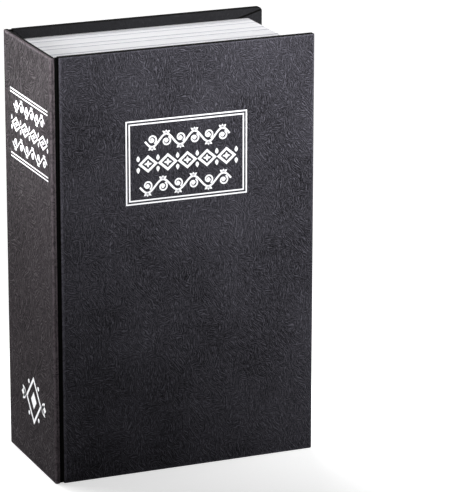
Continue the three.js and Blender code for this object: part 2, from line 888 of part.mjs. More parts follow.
// The fence: a bent strip on the bolt's back, with a tooth for each cam
function fenceComb() {
  const x = around(0, fenceWidth);
  const top = dialHeights[0] - dialHeight / 2;
  const footZ = around(knobZ, boltWidth);
  const foot = block(x, [boltBack, boltBack + fenceSheet], footZ);
  const riser = block(x, [boltBack, fenceFront + fenceSheet], [footZ[1] - fenceSheet, footZ[1]]);
  const strip = block(x, [fenceFront, fenceFront + fenceSheet], [footZ[1] - fenceSheet, top]);
  const toothX = around(-latchTravel / 2, toothWidth);
  const teeth = dialHeights.map((z) => {
    const toothTop = z - dialHeight / 2 - toothTopGap;
    return block(
      toothX,
      [dialY + toothTip, fenceFront + fenceSheet / 2],
      [toothTop - toothThickness, toothTop],
    );
  });
  const hole = rod(
    "y",
    [0, knobZ],
    knobScrewRadius + runningGap,
    grown([boltBack, boltBack + fenceSheet], overrun),
  );
  const bracket = cut(joined(foot, riser, strip, ...teeth), hole);
  return piece("fence_comb", bracket, plainSteel);
}

function knobScrew() {
  const seat = boltBack + fenceSheet;
  const end = boltFront - knobScrewReach + runningGap;
  const profile = [
    [0, end],
    [knobScrewRadius, end],
    [knobScrewRadius, seat],
    [knobScrewHeadRadius, seat],
    [knobScrewHeadRadius, seat + knobScrewHeadHeight / 2],
    [knobScrewHeadRadius - knobScrewHeadHeight / 2, seat + knobScrewHeadHeight],
    [0, seat + knobScrewHeadHeight],
  ];
  return piece("knob_screw", turned(profile, "y", [0, knobZ]), plainSteel);
}

// The lever on the back of the case: its shaft ends over the axle, which it pushes down when turned
function resetLever() {
  const armY = [caseBack + runningGap, caseBack + runningGap + leverThickness];
  const shaftStart = caseBack - leverShaftReach;
  const shaft = rod("y", [0, leverZ], leverShaftRadius, [shaftStart, armY[1]]);
  const half = leverWidth / 2;
  const outline = rectangle([half - leverLength, half], around(leverZ, leverWidth), half);
  return piece("reset_lever", joined(shaft, prism(outline, "y", armY)), plainSteel);
}

// The lock stands in a group of its own, counted from the middle of its plate
function lock() {
  const made = group(
    lockPlate(),
    lockCase(),
    ...lockScrews(),
    ...axle(),
    detentSpring(),
    ...numberWheels(),
    slideKnob(),
    latchBolt(),
    fenceComb(),
    knobScrew(),
    resetLever(),
  );
  made.position.set(lockX, 0, lockZ);
  return made;
}

const hinge = lidHinge();
const bookCase = group(
  ...spine(),
  ...cover("front", frontCornerRadius, 0, coverThickness, coverCloth),
  ...cover("back", backCornerRadius, bookThickness, innerBack, coverCloth),
  ...joints(),
  pageBlock(),
  ledgeLining(),
);
const safe = group(piece("safe_tray", tray(), hammeredSteel), trayRim(), ...hinge.fixed);
const lidAssembly = group(lid(), ...hinge.moving, lock());

const book = group(bookCase, safe, lidAssembly);
book.position.set(-bookWidth / 2, -bookThickness / 2, 0);

export default group(book);
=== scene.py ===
"""The looks of the book safe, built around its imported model.

Covered boards, foil, pages, the steel safe and its lock are dressed one sub-assembly after another. Lengths are
metres, and those of the foil are millimetres. The book stands on its lower edge, its spine at -X and its front cover
facing -Y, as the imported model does.
"""

from __future__ import annotations

import logging
import math
from dataclasses import dataclass, field
from enum import Enum
from typing import Any, Callable, Iterable, Sequence

import bmesh
import bpy
from mathutils import Matrix, Vector

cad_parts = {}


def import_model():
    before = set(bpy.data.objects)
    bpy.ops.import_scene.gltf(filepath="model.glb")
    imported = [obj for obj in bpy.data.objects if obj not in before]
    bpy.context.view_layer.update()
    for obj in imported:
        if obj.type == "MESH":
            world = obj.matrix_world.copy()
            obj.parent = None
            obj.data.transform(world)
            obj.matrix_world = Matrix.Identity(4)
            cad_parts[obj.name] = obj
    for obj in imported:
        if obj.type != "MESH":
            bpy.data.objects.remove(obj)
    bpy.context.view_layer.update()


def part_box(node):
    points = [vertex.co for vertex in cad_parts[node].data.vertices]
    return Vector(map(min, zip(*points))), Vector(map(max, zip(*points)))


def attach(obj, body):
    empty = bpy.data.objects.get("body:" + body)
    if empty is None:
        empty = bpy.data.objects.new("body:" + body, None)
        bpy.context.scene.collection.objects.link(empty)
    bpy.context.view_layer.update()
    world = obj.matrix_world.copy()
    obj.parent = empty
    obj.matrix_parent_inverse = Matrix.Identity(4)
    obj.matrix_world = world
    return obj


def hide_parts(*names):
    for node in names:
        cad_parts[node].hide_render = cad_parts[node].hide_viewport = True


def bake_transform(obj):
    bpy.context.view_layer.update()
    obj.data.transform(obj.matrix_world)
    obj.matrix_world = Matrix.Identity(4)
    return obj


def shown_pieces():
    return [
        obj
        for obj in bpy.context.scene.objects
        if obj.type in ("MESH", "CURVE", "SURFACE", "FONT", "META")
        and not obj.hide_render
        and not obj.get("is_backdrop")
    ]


log = logging.getLogger("book_safe")

MM = 0.001
QUARTER = math.pi / 2

ON_AXIS = 1e-9  # a radius below this is a point on the axis
LEAST_RADIUS = 0.01 * MM
MERGE_GAP = 0.002 * MM
FLAT_ANGLE = math.radians(1.0)
BEVEL_ANGLE = math.radians(32.0)
BEVEL_STEPS = 2
SHARP_ANGLE = math.radians(62.0)
WAVE_PITCH = 0.314  # how far apart a wave texture's lines stand at a scale of one
WHITE = (1.0, 1.0, 1.0, 1.0)

Point = tuple[float, float]
Span = tuple[float, float]
Place = tuple[float, float, float]
Loop = list[Vector]
Mesh = bmesh.types.BMesh
Object = bpy.types.Object
Socket = bpy.types.NodeSocket


class Axis(Enum):
    """The axis along which a section is run or a profile is turned."""

    X = 0
    Y = 1
    Z = 2

    def place(self, u: float, v: float, w: float) -> Vector:
        """A point that lies (u, v) across the axis and w along it."""
        return Vector({Axis.X: (w, u, v), Axis.Y: (u, w, v), Axis.Z: (u, v, w)}[self])


# ---- outlines and meshes


def arc_shares(steps: int) -> list[float]:
    """Angles of a quarter circle, from nought to a quarter turn."""
    return [QUARTER * n / steps for n in range(steps + 1)]


def on_circle(centre: Point, radius: float, angle: float) -> Point:
    """The point of a circle at an angle."""
    return (centre[0] + radius * math.cos(angle), centre[1] + radius * math.sin(angle))


def circle(centre: Point, radius: float, steps: int) -> list[Point]:
    """The points of a circle."""
    return [on_circle(centre, radius, 2 * math.pi * n / steps) for n in range(steps)]


def diamond(half_width: float, half_height: float) -> list[Point]:
    """The four corners of a lozenge round the origin."""
    return [(half_width, 0.0), (0.0, half_height), (-half_width, 0.0), (0.0, -half_height)]


def oblong(centre: Point, half_width: float, half_height: float) -> list[Point]:
    """The four corners of a rectangle, from the lower left one round."""
    signs = ((-1, -1), (1, -1), (1, 1), (-1, 1))
    return [(centre[0] + a * half_width, centre[1] + b * half_height) for a, b in signs]


def rounded_loop(u: Span, v: Span, radii: Sequence[float], inset: float, steps: int) -> list[Point]:
    """The outline of a rectangle with rounded corners, drawn in from its edge.

    Args:
        u: The two limits across.
        v: The two limits up.
        radii: The corner radii, counted round from the corner at both lower limits.
        inset: How far inside the rectangle the outline lies.
        steps: Steps of each corner's arc.

    Returns:
        The points of the outline, steps + 1 at each corner.
    """
    points = []
    corners = ((u[0], v[0], 1, 1), (u[1], v[0], -1, 1), (u[1], v[1], -1, -1), (u[0], v[1], 1, -1))
    for n, (cu, cv, su, sv) in enumerate(corners):
        radius = max(radii[n] - inset, LEAST_RADIUS)
        centre = (cu + su * (inset + radius), cv + sv * (inset + radius))
        points += [on_circle(centre, radius, angle + math.pi + n * QUARTER) for angle in arc_shares(steps)]
    return points


def lift(points: Iterable[Point], axis: Axis, along: float) -> Loop:
    """Places a flat outline at one place along an axis."""
    return [axis.place(u, v, along) for u, v in points]


def middle_of(span: tuple[Vector, Vector]) -> Vector:
    """The middle of a box that is given by its two corners."""
    return (span[0] + span[1]) / 2


def neighbours(rows: list[Any], ringed: bool) -> list[tuple[Any, Any]]:
    """Each row with the next one, and the last with the first where they close to a ring."""
    return list(zip(rows, rows[1:])) + ([(rows[-1], rows[0])] if ringed else [])


def lofted(loops: Sequence[Loop], ringed: bool = False) -> Mesh:
    """Joins loops of equal count by quads.

    Args:
        loops: The loops in order.
        ringed: Whether the last loop is joined to the first; if not, a face closes each of them.

    Returns:
        The mesh, its faces all pointing one way.
    """
    mesh = bmesh.new()
    rows = [[mesh.verts.new(point) for point in loop] for loop in loops]
    count = len(rows[0])
    for near, far in neighbours(rows, ringed):
        for n in range(count):
            after = (n + 1) % count
            mesh.faces.new((near[n], near[after], far[after], far[n]))
    if not ringed:
        mesh.faces.new(rows[0][::-1])
        mesh.faces.new(rows[-1])
    bmesh.ops.recalc_face_normals(mesh, faces=mesh.faces)
    return mesh


def turned(profile: Sequence[Point], axis: Axis, centre: Point, steps: int) -> Mesh:
    """Turns a closed profile of (radius, place along) round an axis.

    Args:
        profile: The points of the profile; it starts and ends on the axis, or closes on itself.
        axis: The axis.
        centre: Where the axis stands across.
        steps: Steps of the turn.

    Returns:
        The mesh.
    """
    mesh = bmesh.new()
    rows = []
    for radius, along in profile:
        points = circle(centre, radius, steps) if radius > ON_AXIS else [centre]
        rows.append([mesh.verts.new(point) for point in lift(points, axis, along)])
    for near, far in neighbours(rows, ringed=profile[0][0] > ON_AXIS):
        for n in range(steps):
            after = (n + 1) % steps
            corners = [near[n % len(near)], near[after % len(near)], far[after % len(far)], far[n % len(far)]]
            distinct = list(dict.fromkeys(corners))
            if len(distinct) > 2:
                mesh.faces.new(distinct)
    bmesh.ops.recalc_face_normals(mesh, faces=mesh.faces)
    return mesh


def slab(points: Sequence[Point], axis: Axis, along: Span) -> Mesh:
    """A flat outline run along an axis as a closed solid."""
    return lofted([lift(points, axis, along[0]), lift(points, axis, along[1])])


def merged(meshes: Iterable[Mesh]) -> Mesh:
    """Puts several meshes into one and frees them.

    Args:
        meshes: The meshes.

    Returns:
        The one mesh.
    """
    whole = bmesh.new()
    for part in meshes:
        data = bpy.data.meshes.new("part")
        part.to_mesh(data)
        part.free()
        whole.from_mesh(data)
        bpy.data.meshes.remove(data)
    return whole


def mesh_of(made: Object) -> Mesh:
    """A working copy of an object's mesh.

    Args:
        made: The object, which stays as it is.

    Returns:
        The copy.
    """
    mesh = bmesh.new()
    mesh.from_mesh(made.data)
    return mesh


def as_object(name: str, mesh: Mesh) -> Object:
    """Makes an object at the origin from a mesh and frees the mesh.

    Args:
        name: The object's name.
        mesh: The mesh, its place in its points.

    Returns:
        The object.
    """
    data = bpy.data.meshes.new(name)
    mesh.to_mesh(data)
    mesh.free()
    return linked(name, data)


def linked(name: str, data: Any) -> Object:
    """An object of the scene that shows a mesh, a text, a lamp or a camera.

    Args:
        name: The object's name.
        data: What it shows.

    Returns:
        The object.
    """
    made = bpy.data.objects.new(name, data)
    bpy.context.scene.collection.objects.link(made)
    return made


def discard(*spent: Object) -> None:
    """Removes objects that only served to make others.

    Args:
        *spent: The objects, each with a mesh of its own.
    """
    for made in spent:
        data = made.data
        bpy.data.objects.remove(made)
        bpy.data.meshes.remove(data)


def shown_mesh(made: Object) -> bpy.types.Mesh:
    """The mesh that an object shows with its modifiers, as data of its own."""
    graph = bpy.context.evaluated_depsgraph_get()
    return bpy.data.meshes.new_from_object(made.evaluated_get(graph), depsgraph=graph)


def evaluated(made: Object) -> None:
    """Turns what an object's modifiers show into its own mesh, and removes them.

    Args:
        made: The object.
    """
    data, old = shown_mesh(made), made.data
    made.modifiers.clear()
    made.data = data
    data.name = made.name
    bpy.data.meshes.remove(old)


def smoothed(made: Object, width: float = 0.0, angle: float = BEVEL_ANGLE) -> Object:
    """Rounds an object's sharp edges, if asked, and shades its broad faces flat and its rounds smooth.

    Args:
        made: The object.
        width: The width of the rounded edge, or nought to leave the edges.
        angle: Edges sharper than this are rounded.

    Returns:
        The object, its modifiers applied.
    """
    if width:
        bevel = made.modifiers.new("Edges", "BEVEL")
        bevel.width = width
        bevel.segments = BEVEL_STEPS
        bevel.limit_method = "ANGLE"
        bevel.angle_limit = angle
        bevel.miter_outer = "MITER_ARC"
    made.data.shade_smooth()
    made.data.set_sharp_from_angle(angle=SHARP_ANGLE)
    normals = made.modifiers.new("Normals", "WEIGHTED_NORMAL")
    normals.keep_sharp = True
    evaluated(made)
    return made


# ---- node trees


class Bench:
    """Adds and joins the nodes of one tree, so that a finish reads as a list of steps."""

    def __init__(self, tree: bpy.types.NodeTree) -> None:
        """Empties the tree."""
        self.tree = tree
        tree.nodes.clear()

    def feed(self, socket: Socket, value: Any) -> None:
        """Joins a socket to the value's socket, or sets it to the value.

        Args:
            socket: The input to feed.
            value: A socket, or a value of the input's own kind.
        """
        if isinstance(value, Socket):
            self.tree.links.new(value, socket)
        else:
            socket.default_value = value

    def add(self, kind: str, inputs: dict[Any, Any] | None = None, **settings: Any) -> bpy.types.Node:
        """Adds a node.

        Args:
            kind: The node's type.
            inputs: Values or sockets by the name or number of the input they feed.
            **settings: The node's own settings.

        Returns:
            The node.
        """
        node = self.tree.nodes.new(kind)
        for name, value in settings.items():
            setattr(node, name, value)
        for key, value in (inputs or {}).items():
            self.feed(node.inputs[key], value)
        return node

    def math(self, operation: str, a: Any, b: Any = 0.0) -> Socket:
        """The result of a sum of two numbers."""
        return self.add("ShaderNodeMath", {0: a, 1: b}, operation=operation).outputs[0]

    def vector(self, operation: str, a: Any, b: Any) -> Socket:
        """The result of a sum of two vectors."""
        return self.add("ShaderNodeVectorMath", {0: a, 1: b}, operation=operation).outputs[0]

    def triple(self, x: Any, y: Any, z: Any) -> Socket:
        """A vector of three numbers."""
        return self.add("ShaderNodeCombineXYZ", {0: x, 1: y, 2: z}).outputs[0]

    def share(self, a: Any, part: float, b: Any, other: float) -> Socket:
        """Two numbers added up, each times its part."""
        return self.math("ADD", self.math("MULTIPLY", a, part), self.math("MULTIPLY", b, other))

    def ramp(self, value: Any, low: float, high: float, start: float = 0.0, end: float = 1.0) -> Socket:
        """Carries a value smoothly from start to end as it goes from low to high."""
        inputs = {"Value": value, "From Min": low, "From Max": high, "To Min": start, "To Max": end}
        return self.add("ShaderNodeMapRange", inputs, interpolation_type="SMOOTHSTEP").outputs[0]

    def noise(self, place: Any, scale: Any, detail: float = 2.0, roughness: float = 0.5, out: str = "Fac") -> Socket:
        """A noise texture's number, or its colour, at a place."""
        inputs = {"Vector": place, "Scale": scale, "Detail": detail, "Roughness": roughness}
        return self.add("ShaderNodeTexNoise", inputs).outputs[out]

    def drifted(self, place: Any, scale: Any, detail: float, reach: float) -> Socket:
        """A place moved this way and that by soft noise.

        Args:
            place: The place.
            scale: The scale of the noise.
            detail: The detail of the noise.
            reach: How far the whole range of the noise moves the place.

        Returns:
            The moved place.
        """
        drift = self.vector("SUBTRACT", self.noise(place, scale, detail, out="Color"), (0.5, 0.5, 0.5))
        return self.vector("ADD", place, self.vector("MULTIPLY", drift, (reach, reach, reach)))

    def mix(self, share: Any, first: Any, second: Any) -> Socket:
        """A mix of two numbers."""
        return self.add("ShaderNodeMix", {0: share, 2: first, 3: second}).outputs[0]

    def blend(self, share: Any, first: Any, second: Any) -> Socket:
        """A mix of two colours."""
        return self.add("ShaderNodeMix", {0: share, 6: first, 7: second}, data_type="RGBA").outputs[2]


class EffectGroup:
    """The node group of one shared effect, which takes a place and named sizes."""

    def __init__(self, name: str, sizes: dict[str, Any], results: Sequence[str] = ("Height", "Shade")) -> None:
        """Opens the group with its inputs and outputs.

        Args:
            name: The group's name.
            sizes: The default of each named input: a number or a vector.
            results: The names of its outputs, each a number.
        """
        self.tree = bpy.data.node_groups.new(name, "ShaderNodeTree")
        face = self.tree.interface
        face.new_socket(name="Place", in_out="INPUT", socket_type="NodeSocketVector")
        for label, value in sizes.items():
            kind = "NodeSocketFloat" if isinstance(value, float) else "NodeSocketVector"
            face.new_socket(name=label, in_out="INPUT", socket_type=kind).default_value = value
        for label in results:
            face.new_socket(name=label, in_out="OUTPUT", socket_type="NodeSocketFloat")
        self.bench = Bench(self.tree)
        self.given = self.bench.add("NodeGroupInput").outputs
        self.out = self.bench.add("NodeGroupOutput").inputs
        self.place = self.given["Place"]

    def per(self, label: str, over: float = 1.0) -> Socket:
        """A number divided by one of the named sizes."""
        return self.bench.math("DIVIDE", over, self.given[label])

    def give(self, **results: Any) -> bpy.types.NodeTree:
        """Feeds the outputs.

        Args:
            **results: The value of each output by its name in small letters.

        Returns:
            The finished group.
        """
        for label, value in results.items():
            self.bench.feed(self.out[label.capitalize()], value)
        return self.tree


class EffectGroups:
    """Builds the node groups of the shared effects, each by a method of the effect's own name."""

    @staticmethod
    def pressed_leather(name: str) -> bpy.types.NodeTree:
        """Short curving strokes that lie three ways in patches, and a fine grain, as pressed into book cloth.

        Args:
            name: The group's name.

        Returns:
            The group.
        """
        sizes = {"Stroke Width": 0.7 * MM, "Stroke Length": 2.4 * MM, "Lean Share": 0.5, "Grain Share": 0.3}
        patch_scale, grain_scale, cloud_scale, waver, leans = 150.0, 1900.0, 32.0, 3.0 * MM, (0.0, 90.0, 38.0)
        group = EffectGroup(name, sizes)
        bench, place, lean = group.bench, group.place, group.given["Lean Share"]
        part = bench.add("ShaderNodeSeparateXYZ", {0: bench.drifted(place, patch_scale, 1.0, waver)}).outputs
        # The cover lies along X and the spine along Y, so their sum runs across either.
        sheet = bench.triple(bench.math("ADD", part["X"], part["Y"]), 0.0, part["Z"])
        slim = bench.math("DIVIDE", group.given["Stroke Width"], group.given["Stroke Length"])
        squash = bench.triple(1.0, 1.0, slim)
        upright, level, tilted = (EffectGroups.strokes(group, sheet, squash, math.radians(angle)) for angle in leans)
        patch = bench.add("ShaderNodeSeparateColor", {0: bench.noise(place, patch_scale, 1.0, out="Color")}).outputs
        flat = bench.math("MULTIPLY", bench.ramp(patch["Red"], 0.5, 0.6), lean)
        tilt = bench.math("MULTIPLY", bench.ramp(patch["Green"], 0.5, 0.6), lean)
        mixed = bench.mix(tilt, bench.mix(flat, upright, level), tilted)
        grain = bench.ramp(bench.noise(place, grain_scale, 2.0, 0.6), 0.36, 0.64)
        height = bench.math("ADD", mixed, bench.math("MULTIPLY", grain, group.given["Grain Share"]))
        cloud = bench.ramp(bench.noise(place, cloud_scale), 0.3, 0.7)
        return group.give(height=height, shade=bench.share(height, 0.62, cloud, 0.14))

    @staticmethod
    def strokes(group: EffectGroup, sheet: Socket, squash: Socket, angle: float) -> Socket:
        """Strokes that lie one way: wavering lines, broken off by noise.

        Args:
            group: The group that they are part of.
            sheet: The place on the cloth.
            squash: How much the pattern is drawn out along the strokes.
            angle: How far they are turned from upright.

        Returns:
            Their height.
        """
        bench = group.bench
        turn = bench.add("ShaderNodeVectorRotate", {"Vector": sheet, "Angle": angle}, rotation_type="Y_AXIS")
        where = bench.vector("MULTIPLY", turn.outputs[0], squash)
        lines = {"Scale": group.per("Stroke Width", WAVE_PITCH), "Distortion": 9.0, "Detail": 2.0, "Detail Scale": 2.0}
        wave = bench.add("ShaderNodeTexWave", {"Vector": where, **lines}).outputs["Fac"]
        broken = bench.noise(where, group.per("Stroke Width", 0.7), 1.0)
        return bench.math("MULTIPLY", bench.ramp(wave, 0.35, 1.0), bench.ramp(broken, 0.38, 0.56, 0.25, 1.0))

    @staticmethod
    def hammered_paint(name: str) -> bpy.types.NodeTree:
        """Rounded dimples with thin raised veins between them, as hammer-finish paint dries.

        Args:
            name: The group's name.

        Returns:
            The group.
        """
        group = EffectGroup(name, {"Dimple Size": 2.2 * MM})
        bench, place, scale = group.bench, group.place, group.per("Dimple Size")
        inputs = {"Vector": bench.drifted(place, scale, 2.0, 1.6 * MM), "Scale": scale}
        cell = bench.add("ShaderNodeTexVoronoi", inputs, feature="DISTANCE_TO_EDGE").outputs["Distance"]
        fine = bench.noise(place, bench.math("MULTIPLY", scale, 2.6), 3.0, 0.6)
        height = bench.math("ADD", bench.ramp(cell, 0.0, 0.32, 1.0, 0.0), bench.math("MULTIPLY", fine, 0.5))
        return group.give(height=height, shade=bench.ramp(height, 0.25, 1.1))

    @staticmethod
    def soft_mottle(name: str) -> bpy.types.NodeTree:
        """Soft patches and a fine tooth, for paper, board, plastic and plated metal.

        Args:
            name: The group's name.

        Returns:
            The group.
        """
        group = EffectGroup(name, {"Patch Size": 12.0 * MM, "Tooth Size": 0.4 * MM})
        bench = group.bench
        patch = bench.noise(group.place, group.per("Patch Size"), 3.0, 0.55)
        tooth = bench.noise(group.place, group.per("Tooth Size"), 2.0, 0.6)
        return group.give(height=tooth, shade=bench.ramp(bench.share(patch, 0.7, tooth, 0.3), 0.3, 0.7))

    @staticmethod
    def brushed_lines(name: str) -> bpy.types.NodeTree:
        """Long fine lines along Z over soft blotches, as on rolled and plated steel.

        Args:
            name: The group's name.

        Returns:
            The group.
        """
        group = EffectGroup(name, {"Line Width": 0.15 * MM, "Line Length": 9.0 * MM})
        bench, across = group.bench, group.per("Line Width")
        stretch = bench.triple(across, across, group.per("Line Length"))
        line = bench.noise(bench.vector("MULTIPLY", group.place, stretch), 1.0, 2.0, 0.6)
        blotch = bench.noise(group.place, 160.0, 3.0)
        return group.give(height=line, shade=bench.ramp(bench.share(line, 0.4, blotch, 0.6), 0.35, 0.65))

    @staticmethod
    def stacked_layers(name: str) -> bpy.types.NodeTree:
        """Thin layers stacked along Y, as moulded pages show them, over a soft cloud.

        Args:
            name: The group's name.

        Returns:
            The group.
        """
        group = EffectGroup(name, {"Layer Size": 0.55 * MM})
        bench = group.bench
        stretch = bench.triple(9.0, group.per("Layer Size"), 9.0)
        layer = bench.noise(bench.vector("MULTIPLY", group.place, stretch), 1.0, 2.0, 0.6)
        cloud = bench.noise(group.place, 45.0)
        return group.give(height=layer, shade=bench.ramp(bench.share(layer, 0.8, cloud, 0.2), 0.35, 0.65))

    @staticmethod
    def rubbed_edges(name: str) -> bpy.types.NodeTree:
        """Where a box-shaped piece has two of its faces meet, broken up as rubbing leaves it: wear and a painted
        highlight.

        Args:
            name: The group's name.

        Returns:
            The group.
        """
        sizes = {"Middle": (0.0, 0.0, 0.0), "Half": (0.05, 0.05, 0.05), "Width": 1.2 * MM}
        group = EffectGroup(name, sizes, ("Mask",))
        bench, width = group.bench, group.given["Width"]
        away = bench.vector("SUBTRACT", group.place, group.given["Middle"])
        away = bench.add("ShaderNodeVectorMath", {0: away}, operation="ABSOLUTE").outputs[0]
        left = bench.add("ShaderNodeSeparateXYZ", {0: bench.vector("SUBTRACT", group.given["Half"], away)}).outputs
        near = [bench.ramp(bench.math("DIVIDE", left[n], width), 0.0, 1.0, 1.0, 0.0) for n in range(3)]
        pairs = [bench.math("MULTIPLY", near[a], near[b]) for a, b in ((0, 1), (1, 2), (2, 0))]
        edge = bench.math("MAXIMUM", bench.math("MAXIMUM", pairs[0], pairs[1]), pairs[2])
        broken = bench.ramp(bench.noise(group.place, 700.0, 3.0, 0.6), 0.35, 0.65, 0.25, 1.0)
        return group.give(mask=bench.math("MULTIPLY", edge, broken))


class ShaderEffect(Enum):
    """The effects that several materials share, each a node group that is built once."""

    LEATHER = "pressed_leather"
    HAMMERED = "hammered_paint"
    MOTTLE = "soft_mottle"
    BRUSHED = "brushed_lines"
    RUBBED = "rubbed_edges"
    LAYERS = "stacked_layers"

    def place(self, bench: Bench, inputs: dict[str, Any]) -> bpy.types.NodeOutputs:
        """Puts the effect into a material with its own values, and builds its group at its first use.

        Args:
            bench: The material's bench.
            inputs: The effect's place and sizes.

        Returns:
            The effect's outputs.
        """
        tree = bpy.data.node_groups.get(self.value) or getattr(EffectGroups, self.value)(self.value)
        node = bench.add("ShaderNodeGroup", node_tree=tree)
        for name, value in inputs.items():
            bench.feed(node.inputs[name], value)
        return node.outputs


# ---- finishes


def linear(code: str) -> tuple[float, ...]:
    """A colour as the shader takes it, from its six-figure code."""
    parts = [int(code[n : n + 2], 16) / 255 for n in (1, 3, 5)]
    return (*(c / 12.92 if c <= 0.04045 else ((c + 0.055) / 1.055) ** 2.4 for c in parts), 1.0)


def scaled(colour: Sequence[float], by: float) -> tuple[float, ...]:
    """A colour made lighter or darker."""
    return (*(min(c * by, 1.0) for c in colour[:3]), 1.0)


def box_round(nodes: Sequence[str]) -> tuple[Vector, Vector]:
    """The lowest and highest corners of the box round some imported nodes.

    Args:
        nodes: The nodes' names.

    Returns:
        The two corners.
    """
    lows, highs = zip(*(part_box(node) for node in nodes))
    low = Vector([min(corner[n] for corner in lows) for n in range(3)])
    return low, Vector([max(corner[n] for corner in highs) for n in range(3)])


@dataclass(frozen=True)
class Pattern:
    """The effect that runs over a finish, how far it lightens and darkens it, and the effect's own sizes."""

    effect: ShaderEffect
    contrast: float
    sizes: dict[str, float] = field(default_factory=dict)


@dataclass(frozen=True)
class Gloss:
    """How rough a finish is, how much its pattern changes that, and how much it mirrors."""

    roughness: float
    change: float
    specular: float = 0.5
    metallic: float = 0.0


@dataclass(frozen=True)
class Relief:
    """How deep a finish's pattern is pressed, and how strongly that shows."""

    depth: float
    strength: float


@dataclass(frozen=True)
class Rub:
    """Wear and a painted highlight along the edges of the box round some nodes: how strong, how much lighter and how
    much smoother.
    """

    strength: float
    nodes: tuple[str, ...]
    lighter: float = 2.6
    smoother: float = 0.12

    def mask(self, bench: Bench, place: Socket) -> Socket:
        """Where the wear and painted highlight lie, and how strong they are there.

        Args:
            bench: The material's bench.
            place: The place on the piece.

        Returns:
            The mask.
        """
        low, high = box_round(self.nodes)
        inputs = {"Place": place, "Middle": (low + high) / 2, "Half": (high - low) / 2}
        return bench.math("MULTIPLY", ShaderEffect.RUBBED.place(bench, inputs)["Mask"], self.strength)


@dataclass(frozen=True)
class Finish:
    """A surface finish: its colour, pattern, gloss and relief, the record's slot and the wear and painted highlight
    along its edges.
    """

    name: str
    colour: str
    pattern: Pattern
    gloss: Gloss
    relief: Relief
    slot: str = ""
    rub: Rub | None = None

    def build(self) -> bpy.types.Material:
        """Builds the material.

        Returns:
            The material.
        """
        material = bpy.data.materials.new(self.name)
        material.use_nodes = True
        bench = Bench(material.node_tree)
        place = bench.add("ShaderNodeTexCoord").outputs["Object"]
        effect = self.pattern.effect.place(bench, {"Place": place, **self.pattern.sizes})
        base, contrast, gloss = linear(self.colour), self.pattern.contrast, self.gloss
        colour = bench.blend(effect["Shade"], scaled(base, 1 - contrast), scaled(base, 1 + contrast))
        ends = (gloss.roughness + gloss.change, gloss.roughness - gloss.change)
        rough = bench.ramp(effect["Shade"], 0.0, 1.0, *ends)
        # Lighter, smoother edges: partly wear, partly a painted highlight along the rounded edges.
        if self.rub:
            wear_and_highlight_mask = self.rub.mask(bench, place)
            colour = bench.blend(wear_and_highlight_mask, colour, scaled(base, self.rub.lighter))
            rough = bench.math("SUBTRACT", rough, bench.math("MULTIPLY", wear_and_highlight_mask, self.rub.smoother))
        pressed = {"Strength": self.relief.strength, "Distance": self.relief.depth, "Height": effect["Height"]}
        inputs = {
            "Base Color": colour,
            "Roughness": rough,
            "Metallic": gloss.metallic,
            "Specular IOR Level": gloss.specular,
            "Normal": bench.add("ShaderNodeBump", pressed).outputs["Normal"],
        }
        shader = bench.add("ShaderNodeBsdfPrincipled", inputs)
        bench.add("ShaderNodeOutputMaterial", {"Surface": shader.outputs[0]})
        material.diffuse_color = base
        return material


@dataclass
class Palette:
    """The finishes of the book safe, each built once and given out by name."""

    finishes: dict[str, Finish]
    built: dict[str, bpy.types.Material] = field(default_factory=dict)

    def material(self, name: str) -> bpy.types.Material:
        """The material of a finish, built when it is first asked for.

        Args:
            name: The finish's name.

        Returns:
            The material.
        """
        if name not in self.built:
            self.built[name] = self.finishes[name].build()
        return self.built[name]

    def dress(self, made: Object, name: str) -> None:
        """Gives a piece one finish.

        Args:
            made: The piece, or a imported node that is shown.
            name: The finish's name.
        """
        made.data.materials.clear()
        made.data.materials.append(self.material(name))

    def dress_nodes(self, name: str, *nodes: str) -> None:
        """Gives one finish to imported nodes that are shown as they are.

        Args:
            name: The finish's name.
            *nodes: The nodes' names.
        """
        for node in nodes:
            self.dress(bpy.data.objects[node], name)

    def set_apart(self, made: Object, name: str, chosen: Callable[[Vector, Vector], bool]) -> None:
        """Gives a further finish to some faces of a dressed piece.

        Args:
            made: The piece.
            name: The finish's name.
            chosen: Picks a face by its middle and its normal.
        """
        made.data.materials.append(self.material(name))
        for face in made.data.polygons:
            if chosen(face.center, face.normal):
                face.material_index = len(made.data.materials) - 1

    def settle(self, made: Object, name: str, body: str, *nodes: str) -> None:
        """Dresses a piece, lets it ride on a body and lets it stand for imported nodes.

        Args:
            made: The piece.
            name: The finish's name.
            body: The body that it rides on.
            *nodes: The nodes that it replaces, if any.
        """
        self.dress(made, name)
        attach(made, body)
        if nodes:
            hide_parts(*nodes)


